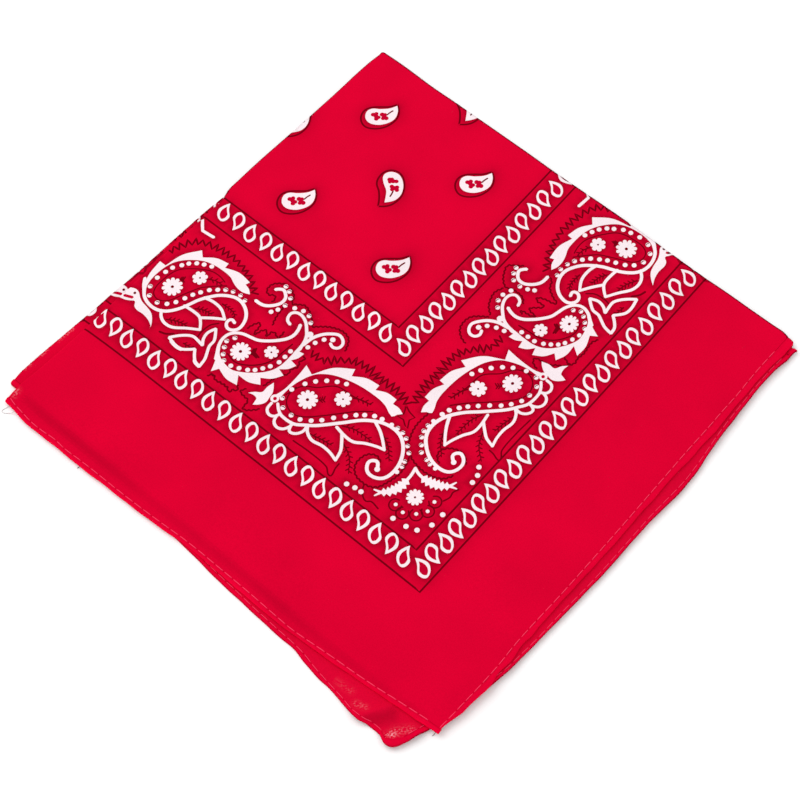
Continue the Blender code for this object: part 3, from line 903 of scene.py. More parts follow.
def lay(name, place, outline, grid, shapes, material, shade_and_sheen):
    """A sheet of cloth as a thin closed shell, printed on one face and plain on the other.

    place() gives the upper face's points, in across, down and height, from flat ones. A sheet without
    printed shapes lies wrong side up. The last argument gives, from flat places and how steeply the
    cloth turns there, how much painted shade darkens the colour and how much painted sheen lightens it.
    """
    printed_face = cut(outline, grid, shapes)
    plain_face = cut(rim_of(*printed_face[:2]), grid, [])
    palette = np.array([INK_COLOURS[k] for k in (RED, WHITE, MAROON, SHADE)])
    places, triangles, colours, normals, flat_places = [], [], [], [], []
    first = 0
    for side, (flat, face, ink) in enumerate((printed_face, plain_face)):
        normal = normals_of(place, flat)
        at = place(flat) - normal * (CLOTH if side else 0)
        places.append(metres(at))
        normals.append(normal * (1, -1, 1) * (-1 if side else 1))
        triangles.append((face[:, ::-1] if side else face) + first)
        dyed = np.tile(WRONG_SIDE, (len(face), 1)) if bool(side) == bool(shapes) else palette[ink]
        # painted shade where the cloth turns steeply or past a crease, less on white pigment, and
        # painted sheen in pale specks
        painted_shade, pale = shade_and_sheen(flat[face].mean(axis=1), steepness(np.abs(normal[face, 2]).mean(axis=1)))
        dyed = dyed * (1 - painted_shade * np.where(dyed[:, 1] > 0.5, 0.15, 1))[:, None]
        dyed = dyed + (np.array(PAINTED_SHEEN) - dyed) * pale[:, None]
        dyed = np.repeat(dyed[:, None], 3, axis=1)
        if (ink == WHITE).any():
            # the red is deeper near the white pigment
            pigment = np.unique(face[ink == WHITE])
            nearest = kdtree.KDTree(len(pigment))
            for k in pigment.tolist():
                nearest.insert((*flat[k], 0.0), k)
            nearest.balance()
            away = np.array([nearest.find((*spot, 0.0))[2] for spot in flat])
            tone = 1 - 0.17 * np.exp(-((away / 5.0) ** 2)) - 0.25 * np.exp(-((away / 1.2) ** 2))
            dyed[ink == RED] *= tone[face[ink == RED]][:, :, None]
        colours.append(dyed)
        flat_places.append(flat)
        first += len(flat)
    places, normals, triangles, colours = map(np.vstack, (places, normals, triangles, colours))
    return build(name, places, normals, triangles, colours, flat_places, material)


def build(name, places, normals, triangles, colours, flat_places, material):
    """Joins the two faces of a shell round their rims, and maps both for the print."""
    directed = np.vstack([triangles[:, [k, (k + 1) % 3]] for k in range(3)])
    size = len(places)
    keys = directed[:, 0] * size + directed[:, 1]
    back_keys = directed[:, 1] * size + directed[:, 0]
    rim = directed[~np.isin(keys, back_keys)]
    upper_count = len(flat_places[0])
    upper_rim, lower_rim = rim[rim[:, 0] < upper_count], rim[rim[:, 0] >= upper_count]
    flat = np.vstack(flat_places)
    # the two rims have the same flat points, in opposite turns
    gaps = np.linalg.norm(flat[upper_rim[:, 0], None] - flat[None, lower_rim[:, 0]], axis=2)
    below = dict(zip(upper_rim[:, 0].tolist(), lower_rim[gaps.argmin(axis=1), 0].tolist()))
    walls = []
    for a, b in upper_rim.tolist():
        c, d = below[b], below[a]
        walls += [(b, a, d)] + ([(b, d, c)] if c != d else [])
    faces = np.vstack((triangles, walls))
    mesh = bpy.data.meshes.new(name)
    mesh.from_pydata(places.tolist(), [], faces.tolist())
    mesh.materials.append(material)
    mesh.polygons.foreach_set("use_smooth", np.ones(len(faces), bool))
    corner_normals = normals[faces].copy()
    for k in range(len(triangles), len(faces)):
        a, b, c = places[faces[k]]
        flat_normal = np.cross(b - a, c - a)
        corner_normals[k] = flat_normal / max(np.linalg.norm(flat_normal), 1e-12)
    mesh.normals_split_custom_set(corner_normals.reshape(-1, 3).tolist())
    paint = mesh.attributes.new("print", "FLOAT_COLOR", "CORNER")
    whole = np.vstack((colours.reshape(-1, 3), np.tile(colours[-1, 0], (3 * len(walls), 1))))
    paint.data.foreach_set("color", np.column_stack((whole, np.ones(len(whole)))).ravel())
    low, high = flat.min(axis=0), flat.max(axis=0)
    scale = 0.94 / (high - low).max()
    sheet = bpy.data.objects.new(name, mesh)
    bpy.context.scene.collection.objects.link(sheet)
    unwrapped = mesh.uv_layers.new(name="OFBake")
    where = (flat[faces] - low) * scale
    is_lower = (faces >= upper_count).all(axis=1)
    where[is_lower] = where[is_lower] * (0.05, 1.0) + (0.945, 0.0)
    for k, row in enumerate(range(len(triangles), len(faces))):
        where[row] = np.array(((k + 0.95, 0.96), (k, 0.96), (k, 0.99))) * (1 / len(walls), 1)
    unwrapped.data.foreach_set("uv", where.reshape(-1, 2).ravel())
    return sheet


def grid_of(across_lines, down_lines):
    x, y = np.meshgrid(across_lines, down_lines)
    return np.column_stack((x.ravel(), y.ravel()))


def lines_between(start, stop, pitch):
    return np.linspace(start, stop, max(2, round(abs(stop - start) / pitch) + 1))


def outline_of(left, right, back, front, pitch=2.5):
    """A closed outline round four edges: left and right by down, back and front by across."""
    def meet(side, end):
        down = 140.0
        for _ in range(20):
            down = float(end(side(down)))
        return float(side(down)), down

    (x0, y0), (x1, y1) = meet(left, back), meet(right, back)
    (x2, y2), (x3, y3) = meet(right, front), meet(left, front)
    top, bottom = lines_between(x0, x1, pitch)[:-1], lines_between(x2, x3, pitch)[:-1]
    right_side, left_side = lines_between(y1, y2, pitch)[:-1], lines_between(y3, y0, pitch)[:-1]
    return np.vstack((
        np.column_stack((top, back(top))), np.column_stack((right(right_side), right_side)),
        np.column_stack((bottom, front(bottom))), np.column_stack((left(left_side), left_side))))


# The top quarter: the right side of the cloth, with the left fold down to the second quarter and the
# back fold down to the table. It lies almost flat, with a few very soft rises.
LEFT_ROLL = 1.15  # outer radius of the left fold
BACK_ROLL = 2.3  # outer radius of the back fold, about half the stack's height
FOLD_ROOM = 1.2  # flat cloth between the corner's middle and the start of each fold
back_fold = edge([
    (0.3, -3.5), (11.3, -3.6), (24.8, -3.2), (33.8, -2.8), (54, -2.9), (66, -2.8), (105.3, -2.5),
    (120, -2.2), (166.6, -2.3), (193.3, -1.6), (220, -1.0), (234, -1.1), (246.6, -0.9), (262, -0.8),
    (268.9, -0.8), (273, 0.3), (276.0, 1.7), (276.6, 4.0)
])
left_fold = edge([
    (-3.4, -0.1), (8.3, -1.2), (36, -1.3), (54.5, -1.5), (81.6, -2.1), (94.1, -2.4), (110.7, -2.3),
    (119, -2.1), (124.5, -0.6), (138.4, -0.4), (193.7, 0.6), (213.1, 0.7), (226.9, 0.7), (258, 0.0),
    (266, -0.5), (273.2, -1.1), (278.1, -1.3), (282.2, -0.6)
])
UNDER_RIGHT = edge([
    (4, 276.6), (30, 275.4), (60, 276.5), (98, 279.8), (150, 278.4), (219, 275), (240, 272.4),
    (258, 267.5), (272, 262.5)
])
UNDER_FRONT = edge([(-6, 272.8), (40, 273.1), (120, 272), (200, 271.8), (264, 270.6)])
SECOND_RIDGES = [
    (236, 292, 246, 280, 4.0, 2.4), (257, 289, 263, 279, 5.0, 2.6), (279, 228, 276, 254, 7.0, 0.9),
    (281, 20, 282, 70, 8.0, 0.8)
]
TOP_RIDGES = [
    (264, 264, 275, 276, 8.0, 0.8), (20, 272, 70, 262, 9.0, 0.5), (120, 255, 175, 263, 10.0, 0.5),
    (240, 200, 262, 214, 9.0, 0.5), (60, 150, 150, 120, 12.0, 0.35)
]


def second_height(across, down):
    """The second quarter's upper face: on the under layers, then gently down to the table past them."""
    past_right = np.maximum(0, 0.45 * (across - UNDER_RIGHT(down)) + 4.0)
    past_front = np.maximum(0, down - UNDER_FRONT(across) + 4.0)
    past = np.hypot(past_right, past_front)
    return 1.0 + 2.3 * (1 - smooth(past / 11.3)) + ridges(SECOND_RIDGES, across, down)


def top_height(across, down):
    return second_height(across, down) + 1.3 + 0.2 * ridges(
        SECOND_RIDGES, across, down
    ) + ridges(TOP_RIDGES, across, down)


def top_place(flat):
    """The top quarter's upper face, round both folds too."""
    p, q = flat.T
    corner_p = left_fold(1.0) + LEFT_ROLL + FOLD_ROOM
    corner_q = back_fold(corner_p) + BACK_ROLL + FOLD_ROOM
    middle_left = left_fold(np.maximum(q, corner_q)) + LEFT_ROLL + FOLD_ROOM
    middle_back = back_fold(np.maximum(p, corner_p)) + BACK_ROLL + FOLD_ROOM
    a, b = np.maximum(middle_left - p, 0), np.maximum(middle_back - q, 0)
    across, down = np.maximum(p, middle_left), np.maximum(q, middle_back)
    face = top_height(across, down)
    back_roll = face / 2
    share_left = a / (FOLD_ROOM + math.pi * LEFT_ROLL)
    share_back = b / (FOLD_ROOM + math.pi * back_roll)
    level = np.maximum(share_left, share_back)
    turn = np.where(
        share_left >= share_back,
        share_back / np.maximum(share_left, 1e-9),
        2 - share_left / np.maximum(share_back, 1e-9),
    ) * math.pi / 4
    turn = np.where(level > 0, turn, 0)
    radius = LEFT_ROLL + (back_roll - LEFT_ROLL) * smooth(turn / (math.pi / 2))
    reach = level * (FOLD_ROOM + math.pi * radius)
    bend = np.maximum(reach - FOLD_ROOM, 0) / radius
    out = (np.minimum(reach, FOLD_ROOM) + radius * np.sin(bend)) * (1 + 0.22 * np.sin(2 * turn) ** 2)
    return np.column_stack((
        across - np.cos(turn) * out, down - np.sin(turn) * out, face - radius + radius * np.cos(bend)
    ))


top_stitch_front = edge([
    (1.1, 279), (4.6, 279.8), (10.8, 280.6), (18.1, 281.4), (25.4, 281.3), (32.9, 280.6), (40.8, 281),
    (51, 280.5), (61.3, 280.2), (75.1, 280), (85.3, 279.7), (95.7, 279.2), (106.1, 278.6),
    (116.4, 277.9), (126.6, 277.6), (135, 277.6), (160.7, 277.7), (176.3, 278.1), (186.6, 278.2),
    (191.7, 277.9), (202, 276.9), (212.2, 276), (223.3, 275.2), (236.8, 273.9), (254.3, 271.8),
    (266.1, 270.6)
])
top_stitch_right = edge([
    (17.7, 271.5), (23.8, 271.4), (36, 271.6), (43.7, 271.9), (56.5, 271.8), (69.2, 271.9), (83, 271.7),
    (102.7, 271.8), (119, 271.9), (133.9, 272), (164.4, 271.9), (185.1, 271.7), (195.4, 271.4),
    (205.9, 271.1), (218.6, 271.1), (228.6, 271.6), (239.1, 271.6), (249.1, 271.3), (259.9, 270.8),
    (266.5, 270.4)
])
under_length_left = FOLD_ROOM + math.pi * LEFT_ROLL
under_length_back = FOLD_ROOM + math.pi * BACK_ROLL
top_outline = outline_of(
    lambda down: left_fold(np.maximum(down, 1.5)) + LEFT_ROLL + FOLD_ROOM - under_length_left,
    top_stitch_right,
    lambda across: back_fold(np.maximum(across, 2.0)) + BACK_ROLL + FOLD_ROOM - under_length_back,
    top_stitch_front)
top_grid = grid_of(
    np.concatenate((
        np.arange(-4.0, 4.0, 0.4), np.arange(4.0, 262.0, 3.0), np.arange(262.0, 276.0, 1.5)
    ))
    + 0.013,
    np.concatenate((
        np.arange(-8.0, 5.5, 0.5), np.arange(5.5, 265.0, 3.0), np.arange(265.0, 284.0, 1.5)
    ))
    + 0.017)
top_grid = np.vstack((
    top_grid, grid_of(np.arange(-0.8, 3.0, 0.5) + 0.031, np.arange(270.0, 280.0, 0.6) + 0.037)
))
# painted sheen in specks at the left fold's front end
TOP_SHEEN_SPOTS = [(0.9, 273.5, 1.1, 276.5, 1.1, 0.35)]


def top_shade_and_sheen(flat, steep):
    """Painted shade along both folds, but painted sheen in specks where the left one lies on the
    under layers' fold.
    """
    on_under = (flat[:, 0] < 6) * smooth((flat[:, 1] - 118) / 14)
    return 0.76 * steep * (1 - on_under), specks(TOP_SHEEN_SPOTS, flat, 0.9)


print_cotton = cotton("printed_cotton")
top_quarter = lay(
    "top_quarter", top_place, top_outline, top_grid, quarter_print, print_cotton, top_shade_and_sheen
)
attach(top_quarter, "root")
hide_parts("quarter_top")

# The second quarter: the same cotton wrong side up under the top quarter. It shows as a margin along
# both hemmed sides and as a slipped corner with a crease, and turns under inside the back fold.
FINE_RIDGES = [
    (238.6, 291, 246.2, 276.0, 1.7, 0.6), (252, 288, 256, 276, 2.2, 0.5),
    (228, 286, 236, 278, 5.0, 0.35), (246, 289, 249, 283, 1.8, -0.4)
]
second_back = edge([(0, 0.4), (105, 1.6), (193, 2.4), (247, 3.1), (268, 2.6), (274, 2.0), (280, 1.4)])
second_stitch_right = edge([
    (2.0, 277.4), (5.3, 276.6), (14.9, 276.2), (23, 275.9), (34.9, 275.9), (48.7, 276.4), (61.7, 277),
    (87.2, 279.4), (97.6, 280), (105.2, 279.8), (122.5, 278.9), (143.9, 278.7), (159.1, 278.6),
    (174.6, 278.1), (190.3, 277.2), (205.9, 276.7), (218.6, 275.8), (229.7, 274.9), (239, 272.6),
    (257, 268.4), (272.8, 263.9), (280.5, 261.7), (285.7, 259.9), (289, 258.2)
])
second_hem_right = edge([
    (2.6, 279.8), (5.3, 279.2), (10.8, 279.0), (14.9, 278.4), (25.5, 277.5), (34.9, 277.5),
    (43.7, 277.9), (54, 278.5), (64.3, 279), (76.9, 280), (89.7, 281.6), (97.6, 282), (107.9, 281.9),
    (118.3, 281), (128.7, 280.4), (143.9, 280.2), (159.1, 280.2), (172.1, 279.6), (185.1, 279),
    (200.6, 278.1), (218.6, 277.2), (229.7, 276.4), (239.1, 275), (257, 271.3), (272.8, 266.9),
    (280.5, 264.6), (285.7, 262.7), (289.7, 260.6), (291.6, 257.8)
])
second_stitch_front = edge([
    (0, 278), (60, 278.6), (105, 277.2), (118.8, 277.8), (134.3, 279.3), (146.3, 280.2), (157.1, 280.8),
    (163.9, 281.3), (174.7, 281.8), (181.4, 282.1), (191.7, 282.4), (199.4, 283.1), (207.1, 284.7),
    (212.2, 285.5), (225, 287.2), (238.9, 289.2), (241.4, 288.6), (244.9, 287.4), (250.6, 287.6),
    (254.3, 289.2), (258, 289.4)
])
second_hem_front = edge([
    (0, 280.4), (60, 281), (105, 279.6), (118.8, 280), (126.6, 280.6), (134.3, 281.3), (142, 282.1),
    (160.7, 283.1), (176.3, 283.9), (186.6, 284.3), (195.2, 284.4), (202, 286), (213.3, 287.6),
    (218.2, 287.8), (233.6, 290.3), (239.5, 291.3), (241.4, 290.5), (244.9, 289.5), (250.6, 289.7),
    (253.3, 290.8), (255, 291.6), (257.8, 291.6)
])
# painted sheen in specks on the slipped corner, in rows as for ridges()
SHEEN_SPOTS = [
    (255.0, 287.2, 256.2, 285.6, 1.5, 0.8), (256, 284, 261, 279, 1.9, 0.22),
    (233.5, 285.6, 238.0, 284.4, 1.3, 0.2), (221, 283, 228, 282.4, 1.4, 0.08)
]
# painted shade on the facet past the slipped corner's crease
SHADED = [(242.2, 288, 249.4, 277.4, 1.7, 0.12), (246.5, 287.5, 251.5, 280.5, 2.8, 0.14)]
INNER_ROLL = 0.9  # radius of the turn under at the back
TURN_START = 2.3  # how far inside the back edge that turn starts


def second_place(flat):
    """The second quarter's upper face, with the turn under at its back."""
    p, q = flat.T
    middle = second_back(p) + TURN_START
    down = np.maximum(q, middle)
    face = second_height(p, down) + ridges(FINE_RIDGES, p, down)
    bend = np.maximum(middle - q, 0) / INNER_ROLL
    return np.column_stack((
        p, down - INNER_ROLL * np.sin(bend), face - INNER_ROLL + INNER_ROLL * np.cos(bend)
    ))


second_outline = outline_of(
    lambda down: left_fold(down) + LEFT_ROLL + 0.3,
    second_stitch_right,
    lambda across: second_back(across) + TURN_START - math.pi * INNER_ROLL,
    second_stitch_front)
second_grid = grid_of(
    np.concatenate((
        np.arange(3.0, 222.0, 5.0), np.arange(222.0, 264.0, 0.7), np.arange(264.0, 282.0, 1.4)
    ))
    + 0.011,
    np.concatenate((
        np.arange(-1.0, 6.0, 0.5), np.arange(6.0, 262.0, 5.0), np.arange(262.0, 272.0, 1.4),
        np.arange(272.0, 292.0, 0.7)
    ))
    + 0.019)
plain_cotton = cotton("wrong_side_cotton", 0.5)


def second_shade_and_sheen(flat, steep):
    """Painted shade where the back turns under and past the slipped corner's crease, and painted sheen
    in specks at its tip.
    """
    return 0.4 * steep * (flat[:, 1] < 20) + ridges(SHADED, *flat.T), specks(SHEEN_SPOTS, flat, 1.3)


second_quarter = lay(
    "second_quarter", second_place, second_outline, second_grid, [], plain_cotton, second_shade_and_sheen
)
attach(second_quarter, "root")
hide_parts("quarter_second")

# The under layers: the third and fourth quarters in one stretch, right side out, turned under at the
# left fold. Only a strip at that fold shows from above, and the whole print shows from below.
UNDER_ROLL = 0.98
HALF_TURN = math.pi * UNDER_ROLL / 2
under_fold = edge([
    (-2, 0.2), (60, -0.9), (110, -1.9), (119, -2.2), (138.4, -3.3), (174.4, -3.8), (193.7, -4.2),
    (204.8, -4.9), (215.9, -5.0), (224.2, -5.6), (235.2, -6.1), (256.3, -7.0), (266.5, -7.0),
    (272.8, -6.3)
])


def under_across(flat):
    """Where a place of the under layers, by distance from their fold's outermost line, lies across."""
    a, q = flat.T
    beyond = np.abs(a) - HALF_TURN
    return under_fold(q) + UNDER_ROLL + np.where(
        beyond > 0, beyond, -UNDER_ROLL * np.cos(np.minimum(np.abs(a) / UNDER_ROLL, math.pi / 2))
    )


def under_place(flat):
    a, q = flat.T
    turn = np.minimum(np.abs(a) / UNDER_ROLL, math.pi / 2)
    return np.column_stack((under_across(flat), q, 0.04 + UNDER_ROLL * (1 + np.sign(a) * np.sin(turn))))


def under_flat(across, down, side):
    """The flat place, on the third (1) or fourth (-1) quarter, that lies at a place in the plan."""
    return side * (across - under_fold(down) - UNDER_ROLL + HALF_TURN)


def under_rim(a):
    """The under layers' front edge, by distance from their fold's outermost line."""
    return UNDER_FRONT(np.abs(a) - 7)


def half_plane(shape, side, limit):
    """The part of an outline that lies on one side of the fold line, up to a limit from it."""
    for keep, way in ((0.0, side), (limit, -side)):
        kept = []
        for before, here in zip(np.roll(shape, 1, axis=0), shape):
            was, now = (before[0] - keep * side) * way, (here[0] - keep * side) * way
            if (was > 0) != (now > 0):
                kept.append(before + (here - before) * was / (was - now))
            if now > 0:
                kept.append(here)
        if len(kept) < 3:
            return None
        shape = np.array(kept)
    return shape


UNDER_DRIFT = (7.0, 4.1)  # how far the print lies off true at the under layers' fold
# small shapes on the strip that shows: from one place down to another, their own shift across and down
STRIP_SHIFTS = [(192, 206, 0.0, 5.5), (206, 232, -3.1, 1.4)]
under_print = []
for side, limit in ((1, 9.0), (-1, 300.0)):
    for ink, shape in quarter_print:
        middle_across, middle_down = shape.mean(axis=0)
        if side == 1 and ink == WHITE and 150 < middle_down < 192:
            continue  # the strip that shows is plain here
        if side == 1 and ink in (WHITE, SHADE) and 206 < middle_down < 232 and middle_across > 10:
            continue  # and has one ring alone here
        for start, end, further_across, further_down in STRIP_SHIFTS:
            if side == 1 and np.ptp(shape[:, 1]) < 15 and start < middle_down < end:
                shape = shape + (further_across, further_down)
                break
        across, down = (shape - UNDER_DRIFT).T
        piece = half_plane(np.column_stack((under_flat(across, down, side), down)), side, limit)
        if piece is not None:
            under_print.append((ink, piece))
UNDER_HEM = 3.0
under_outline = outline_of(
    lambda down: under_flat(UNDER_RIGHT(down) - UNDER_HEM, down, -1),
    lambda down: under_flat(UNDER_RIGHT(down) - UNDER_HEM, down, 1),
    lambda a: back_fold(np.abs(a)) + 2.6 + 1.2 * (1 - smooth((np.abs(a) - 3) / 6)),
    lambda a: under_rim(a) - UNDER_HEM)
under_grid = grid_of(
    np.concatenate((
        np.arange(-285.0, -3.0, 6.0), np.arange(-3.0, 3.0, 0.3), np.arange(3.0, 285.0, 6.0)
    ))
    + 0.011,
    np.arange(0.0, 275.0, 6.0) + 0.019)
under_grid = np.vstack((
    under_grid, grid_of(np.arange(0.9, 3.0, 0.5) + 0.033, np.arange(226.0, 266.0, 0.7) + 0.041)
))
# painted sheen in specks inside the under layers' fold
UNDER_SHEEN_SPOTS = [
    (1.7, 262, 1.9, 259, 0.7, 0.3), (1.7, 252, 1.8, 248, 0.7, 0.25), (1.7, 240, 2.0, 230, 0.8, 0.3)
]


def under_shade_and_sheen(flat, steep):
    """Painted shade along the fold, with a few specks of painted sheen inside it."""
    return 0.55 * steep, specks(UNDER_SHEEN_SPOTS, flat, 1.1)


under_quarters = lay(
    "under_quarters", under_place, under_outline, under_grid, under_print, print_cotton, under_shade_and_sheen
)
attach(under_quarters, "root")
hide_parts("under_layers")

# The hems: the cloth's edge turned in twice and stitched down, so it is three layers thick, round at
# the outer edge and drawn in a little at each stitch.
HEM_FORM = [
    (0, -0.30), (0.03, -0.12), (0.08, 0.05), (0.2, 0.22), (0.45, 0.28), (0.75, 0.24), (0.9, 0.08),
    (0.98, -0.2), (1, -0.5), (1, -0.85), (0.93, -1.0), (0.5, -1.0), (0.1, -0.95), (0, -0.7)
]


def tube_faces(stations, sides, first=0):
    """The faces of a closed tube of rings of points, counted from the first one."""
    last = first + (stations - 1) * sides
    faces = [
        (a + j, a + (j + 1) % sides, a + sides + (j + 1) % sides, a + sides + j)
        for a in range(first, last, sides)
        for j in range(sides)
    ]
    return faces + [tuple(range(first, first + sides))[::-1], tuple(range(last, last + sides))]


def tube_mesh(name, places, faces, material):
    """A smooth mesh with its faces turned outwards."""
    mesh = bpy.data.meshes.new(name)
    mesh.from_pydata(places.tolist(), [], faces)
    work = bmesh.new()
    work.from_mesh(mesh)
    bmesh.ops.recalc_face_normals(work, faces=work.faces)
    work.to_mesh(mesh)
    work.free()
    mesh.materials.append(material)
    mesh.shade_smooth()
    return mesh


def hem_piece(name, mesh):
    piece = bpy.data.objects.new(name, mesh)
    bpy.context.scene.collection.objects.link(piece)
    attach(piece, "root")
    return piece


def hem(name, place, stitching, outer, seed, fullness=1.0, edge_shade=1.0, fold_painted_shade=0.0):
    """A hem between its stitching and its outer edge, both given as flat places along it."""
    run = lengths(stitching)
    pucker = 0.07 * np.sin(run * 2 * math.pi / 6.2 + seed) + 0.05 * np.sin(
        run * 2 * math.pi / 17 + 2 * seed
    )
    normal = normals_of(place, stitching)
    rings = []
    for share, height in HEM_FORM:
        flat = stitching + (outer - stitching) * (
            share * (1 + 0.03 * np.sin(run * 0.41 + seed))
        )[:, None]
        height *= fullness if height < -0.5 else 1
        at = place(flat) + normals_of(place, flat) * (height + pucker * (height > -0.3))[:, None]
        at[:, 2] = np.maximum(at[:, 2], 0.02)
        rings.append(metres(at))
    rings = np.array(rings).transpose(1, 0, 2)
    stations, sides = rings.shape[:2]
    mesh = tube_mesh(name, rings.reshape(-1, 3), tube_faces(stations, sides), hem_cotton)
    mesh.set_sharp_from_angle(angle=math.radians(70))
    paint = mesh.attributes.new("print", "FLOAT_COLOR", "POINT")
    # the outer edge gets painted shade or painted light by edge_shade, the ridge a painted highlight
    shades = np.array([
        edge_shade if share > 0.87 and height < 0.1 else 1.12 if height > 0.23 else 1.0
        for share, height in HEM_FORM
    ])[:, None]
    # painted shade where the hem turns steeply round a fold
    along_shades = 1 - fold_painted_shade * steepness(np.abs(normal[:, 2]))
    colours = along_shades[:, None, None] * shades * INK_COLOURS[RED]
    paint.data.foreach_set(
        "color", np.concatenate((colours, np.ones((stations, sides, 1))), axis=2).ravel()
    )
    return hem_piece(name, mesh)


hem_cotton = cotton("hem_cotton", 0.5)
top_hem_front = edge([
    (0.5, 281.7), (4.6, 282), (9.7, 282.8), (18.1, 283.5), (25.4, 283.3), (35.6, 283), (45.9, 282.9),
    (56.2, 282.8), (66.4, 282.2), (75.1, 282), (90.5, 281.5), (111.2, 280.2), (118.8, 279.4),
    (135, 279.4), (145.8, 279.7), (180.9, 280), (197.1, 279), (207.1, 278.4), (212.2, 278.1),
    (223.3, 277), (233.6, 276.2), (244.1, 275.2), (259.5, 273.9), (266.2, 273.1), (271, 272.5)
])
top_hem_right = edge([
    (5, 276.3), (14.9, 275.8), (23, 275), (43.7, 275), (56.5, 275.2), (66.4, 275.9), (72, 275.5),
    (76.9, 275.4), (89.7, 275.3), (102.7, 274.6), (113.5, 274.9), (128.7, 274.6), (141.7, 274.9),
    (153.9, 274.7), (174.6, 274.3), (191, 273.9), (200.6, 273.9), (210.3, 274), (213.1, 273.6),
    (223.5, 274.6), (233.9, 274.1), (239.1, 275), (254.6, 273.6), (257.7, 273.5), (265, 271.8),
    (270.1, 271.0), (272.8, 271.4)
])


def side_lines(start, stop, stitching, outer, pitch=1.0, swapped=False):
    """Flat places along a stitching line and along the edge outside it."""
    along = lines_between(start, stop, pitch)
    inner, rim = np.column_stack((along, stitching(along))), np.column_stack((along, outer(along)))
    return (inner[:, ::-1], rim[:, ::-1]) if swapped else (inner, rim)


fold_end = float(left_fold(280)) + LEFT_ROLL + FOLD_ROOM - under_length_left
back_end = float(back_fold(272)) + BACK_ROLL + FOLD_ROOM - under_length_back
second_back_end = float(second_back(278)) + TURN_START - 1.0
front_lines = side_lines(2.4, 254.0, second_stitch_front, second_hem_front, 0.8)
corner_inner = curve(
    [(254.0, 289.1), (255.6, 288.4), (257.2, 287.2), (258.6, 285.9), (259.9, 284.6), (260.9, 283.0)],
    0.8
)
corner_outer = curve(
    [(254.0, 291.5), (257.0, 291.8), (259.3, 290.9), (260.9, 289.2), (262.4, 286.4), (263.8, 283.2)],
    0.8
)
corner_steps = np.linspace(0, 1, 14)[1:]
corner_lines = [at_shares(line, corner_steps)[0] for line in (corner_inner, corner_outer)]
# the top hems' outer sides are painted lighter, the second hems' painted darker as painted shade, and
# the top right hem gets painted shade at the back fold
hem_pieces = [
    (
        hem(
            "top_hem_front", top_place,
            *side_lines(fold_end, 271.4, top_stitch_front, top_hem_front, 0.8), 0.3, 1.25, 1.3
        ),
        "hem_top_front"
    ),
    (
        hem(
            "top_hem_right", top_place,
            *side_lines(back_end, 270.2, top_stitch_right, top_hem_right, 0.8, True), 1.7, 1.25, 1.25,
            0.65
        ),
        "hem_top_right"
    ),
    (
        hem(
            "second_hem_front", second_place,
            *[np.vstack(pair) for pair in zip(front_lines, corner_lines)], 2.9, 1.0, 0.8
        ),
        "hem_second_front"
    ),
    (
        hem(
            "second_hem_right", second_place,
            *side_lines(second_back_end, 283.4, second_stitch_right, second_hem_right, 0.8, True), 4.1,
            1.0, 0.55
        ),
        "hem_second_right"
    ),
]
for piece, node in hem_pieces:
    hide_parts(node)
under_hem_end = float(under_flat(UNDER_RIGHT(269.0), 269.0, 1)) - 0.5
under_hem_lines = lines_between(-under_hem_end, under_hem_end, 1.5)
hem(
    "under_hem_front", under_place,
    *[
        np.column_stack((under_hem_lines, under_rim(under_hem_lines) - inset))
        for inset in (UNDER_HEM, 0)
    ],
    5.0
)
for name, side in (("under_hem_third", 1), ("under_hem_fourth", -1)):
    down = lines_between(4.5, 270.0, 1.5)
    hem(
        name, under_place,
        *[
            np.column_stack((under_flat(UNDER_RIGHT(down) - inset, down, side), down))
            for inset in (UNDER_HEM, 0)
        ],
        6.0 + side
    )

# The hem stitching: one row of machine stitches on each hem in a slightly paler thread, every stitch
# sunk into the cloth at both ends.
STITCH, STITCH_GAP = 5.2, 0.55
STITCH_RISE = np.array((
    -0.34, -0.02, 0.05, 0.06, 0.05, -0.02, -0.34
)) + 0.14  # its middle over the cloth
STITCH_FULLNESS = np.array((0.45, 0.95, 1, 1, 1, 0.95, 0.45))
STITCH_SIDES = 6


def stitching(name, place, start, stop, line, thread, swapped=False):
    """A row of stitches along a line, between two places along it, in thread of the radius given."""
    at = start
    places, faces = [], []
    while at + STITCH < stop:
        along = np.linspace(at, at + STITCH, len(STITCH_RISE))
        flat = np.column_stack((along, line(along)))
        flat = flat[:, ::-1] if swapped else flat
        normal = normals_of(place, flat)
        side = np.cross(np.gradient(place(flat), axis=0), normal)
        side /= np.linalg.norm(side, axis=1, keepdims=True)
        wide = thread * STITCH_FULLNESS
        for k, middle in enumerate(place(flat)):
            for turn in np.arange(STITCH_SIDES) * math.pi / 3:
                up = STITCH_RISE[k] + wide[k] * math.sin(turn)
                places.append(middle + normal[k] * up + side[k] * wide[k] * 1.2 * math.cos(turn))
        faces += tube_faces(len(along), STITCH_SIDES, len(places) - len(along) * STITCH_SIDES)
        at += STITCH + STITCH_GAP
    return hem_piece(name, tube_mesh(name, metres(np.array(places)), faces, red_thread))


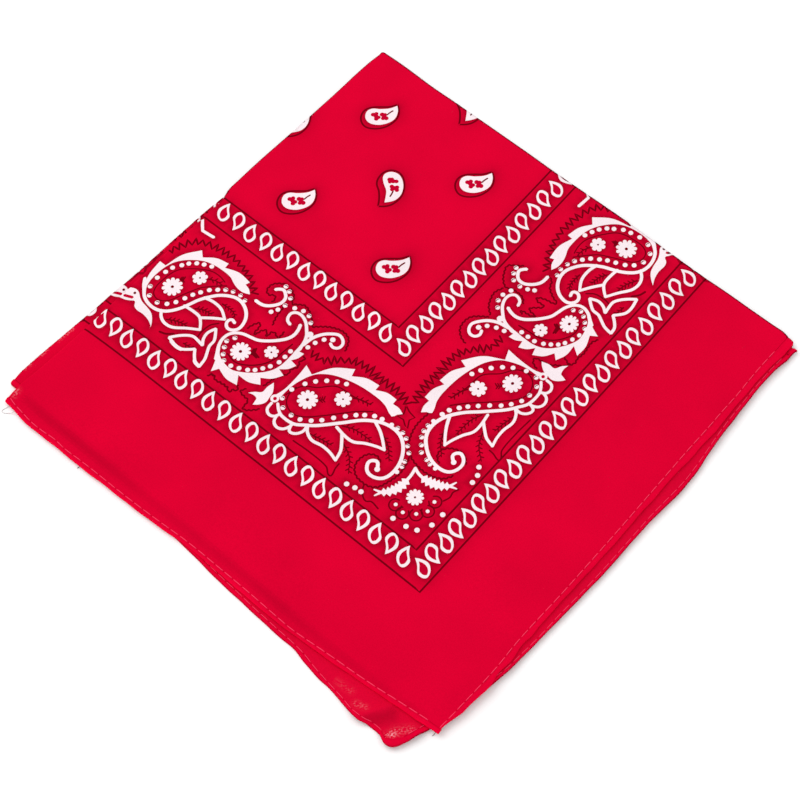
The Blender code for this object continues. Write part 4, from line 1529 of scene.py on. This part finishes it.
red_thread = bpy.data.materials.new("red_thread")
red_thread.use_nodes = True
thread_shader = red_thread.node_tree.nodes["Principled BSDF"]
thread_shader.inputs["Base Color"].default_value = (0.87, 0.035, 0.11, 1.0)
thread_shader.inputs["Roughness"].default_value = 0.7
thread_shader.inputs["Specular IOR Level"].default_value = 0.1
stitching("top_front_stitches", top_place, 0.2, 266.5, top_stitch_front, 0.2)
stitching("top_right_stitches", top_place, 12.0, 270.5, top_stitch_right, 0.17, True)
stitching("second_front_stitches", second_place, 4.0, 255.0, second_stitch_front, 0.16)
stitching("second_right_stitches", second_place, 12.0, 284.0, second_stitch_right, 0.14, True)

# Loose threads: a pale loop of sewing thread that hangs out at the left end of the front hem, and one
# short end further along it.
THREAD_SIDES = 5
pale_thread, dark_thread = (bpy.data.materials.new(name) for name in ("pale_thread", "dark_thread"))
for thread, colour in ((pale_thread, (0.55, 0.5, 0.5, 1.0)), (dark_thread, (0.10, 0.02, 0.025, 1.0))):
    thread.use_nodes = True
    thread.node_tree.nodes["Principled BSDF"].inputs["Base Color"].default_value = colour
    thread.node_tree.nodes["Principled BSDF"].inputs["Roughness"].default_value = 0.8


def loose_thread(name, places, radius, material):
    """A round thread along a smooth line through places in across, down and height."""
    line = curve(places, 0.5)
    along = np.gradient(line, axis=0)
    along /= np.linalg.norm(along, axis=1, keepdims=True)
    side = np.cross(along, (0, 0, 1.0))
    side /= np.linalg.norm(side, axis=1, keepdims=True)
    upward = np.cross(side, along)
    points = [
        p + radius * (s * math.cos(t) + u * math.sin(t)) for p, s, u in zip(line, side, upward)
        for t in np.arange(THREAD_SIDES) * 2 * math.pi / THREAD_SIDES
    ]
    return hem_piece(
        name, tube_mesh(name, metres(np.array(points)), tube_faces(len(line), THREAD_SIDES), material)
    )


loose_thread(
    "thread_loop",
    [
        (3.0, 279.6, 1.6), (2.4, 281.2, 0.8), (1.6, 283.6, 0.25), (1.1, 285.2, 0.2), (1.3, 286.1, 0.2),
        (2.3, 286.3, 0.2), (4.2, 285.2, 0.25), (5.8, 284.0, 0.5), (6.6, 282.8, 1.3)
    ],
    0.13, pale_thread
)
loose_thread(
    "thread_end", [(51.9, 281.4, 1.2), (52.2, 282.8, 0.5), (51.8, 283.9, 0.2)], 0.14, dark_thread
)
loose_thread(
    "tip_thread", [(269.8, 271.6, 1.6), (269.7, 273.0, 0.6), (269.5, 274.2, 0.2)], 0.13, dark_thread
)
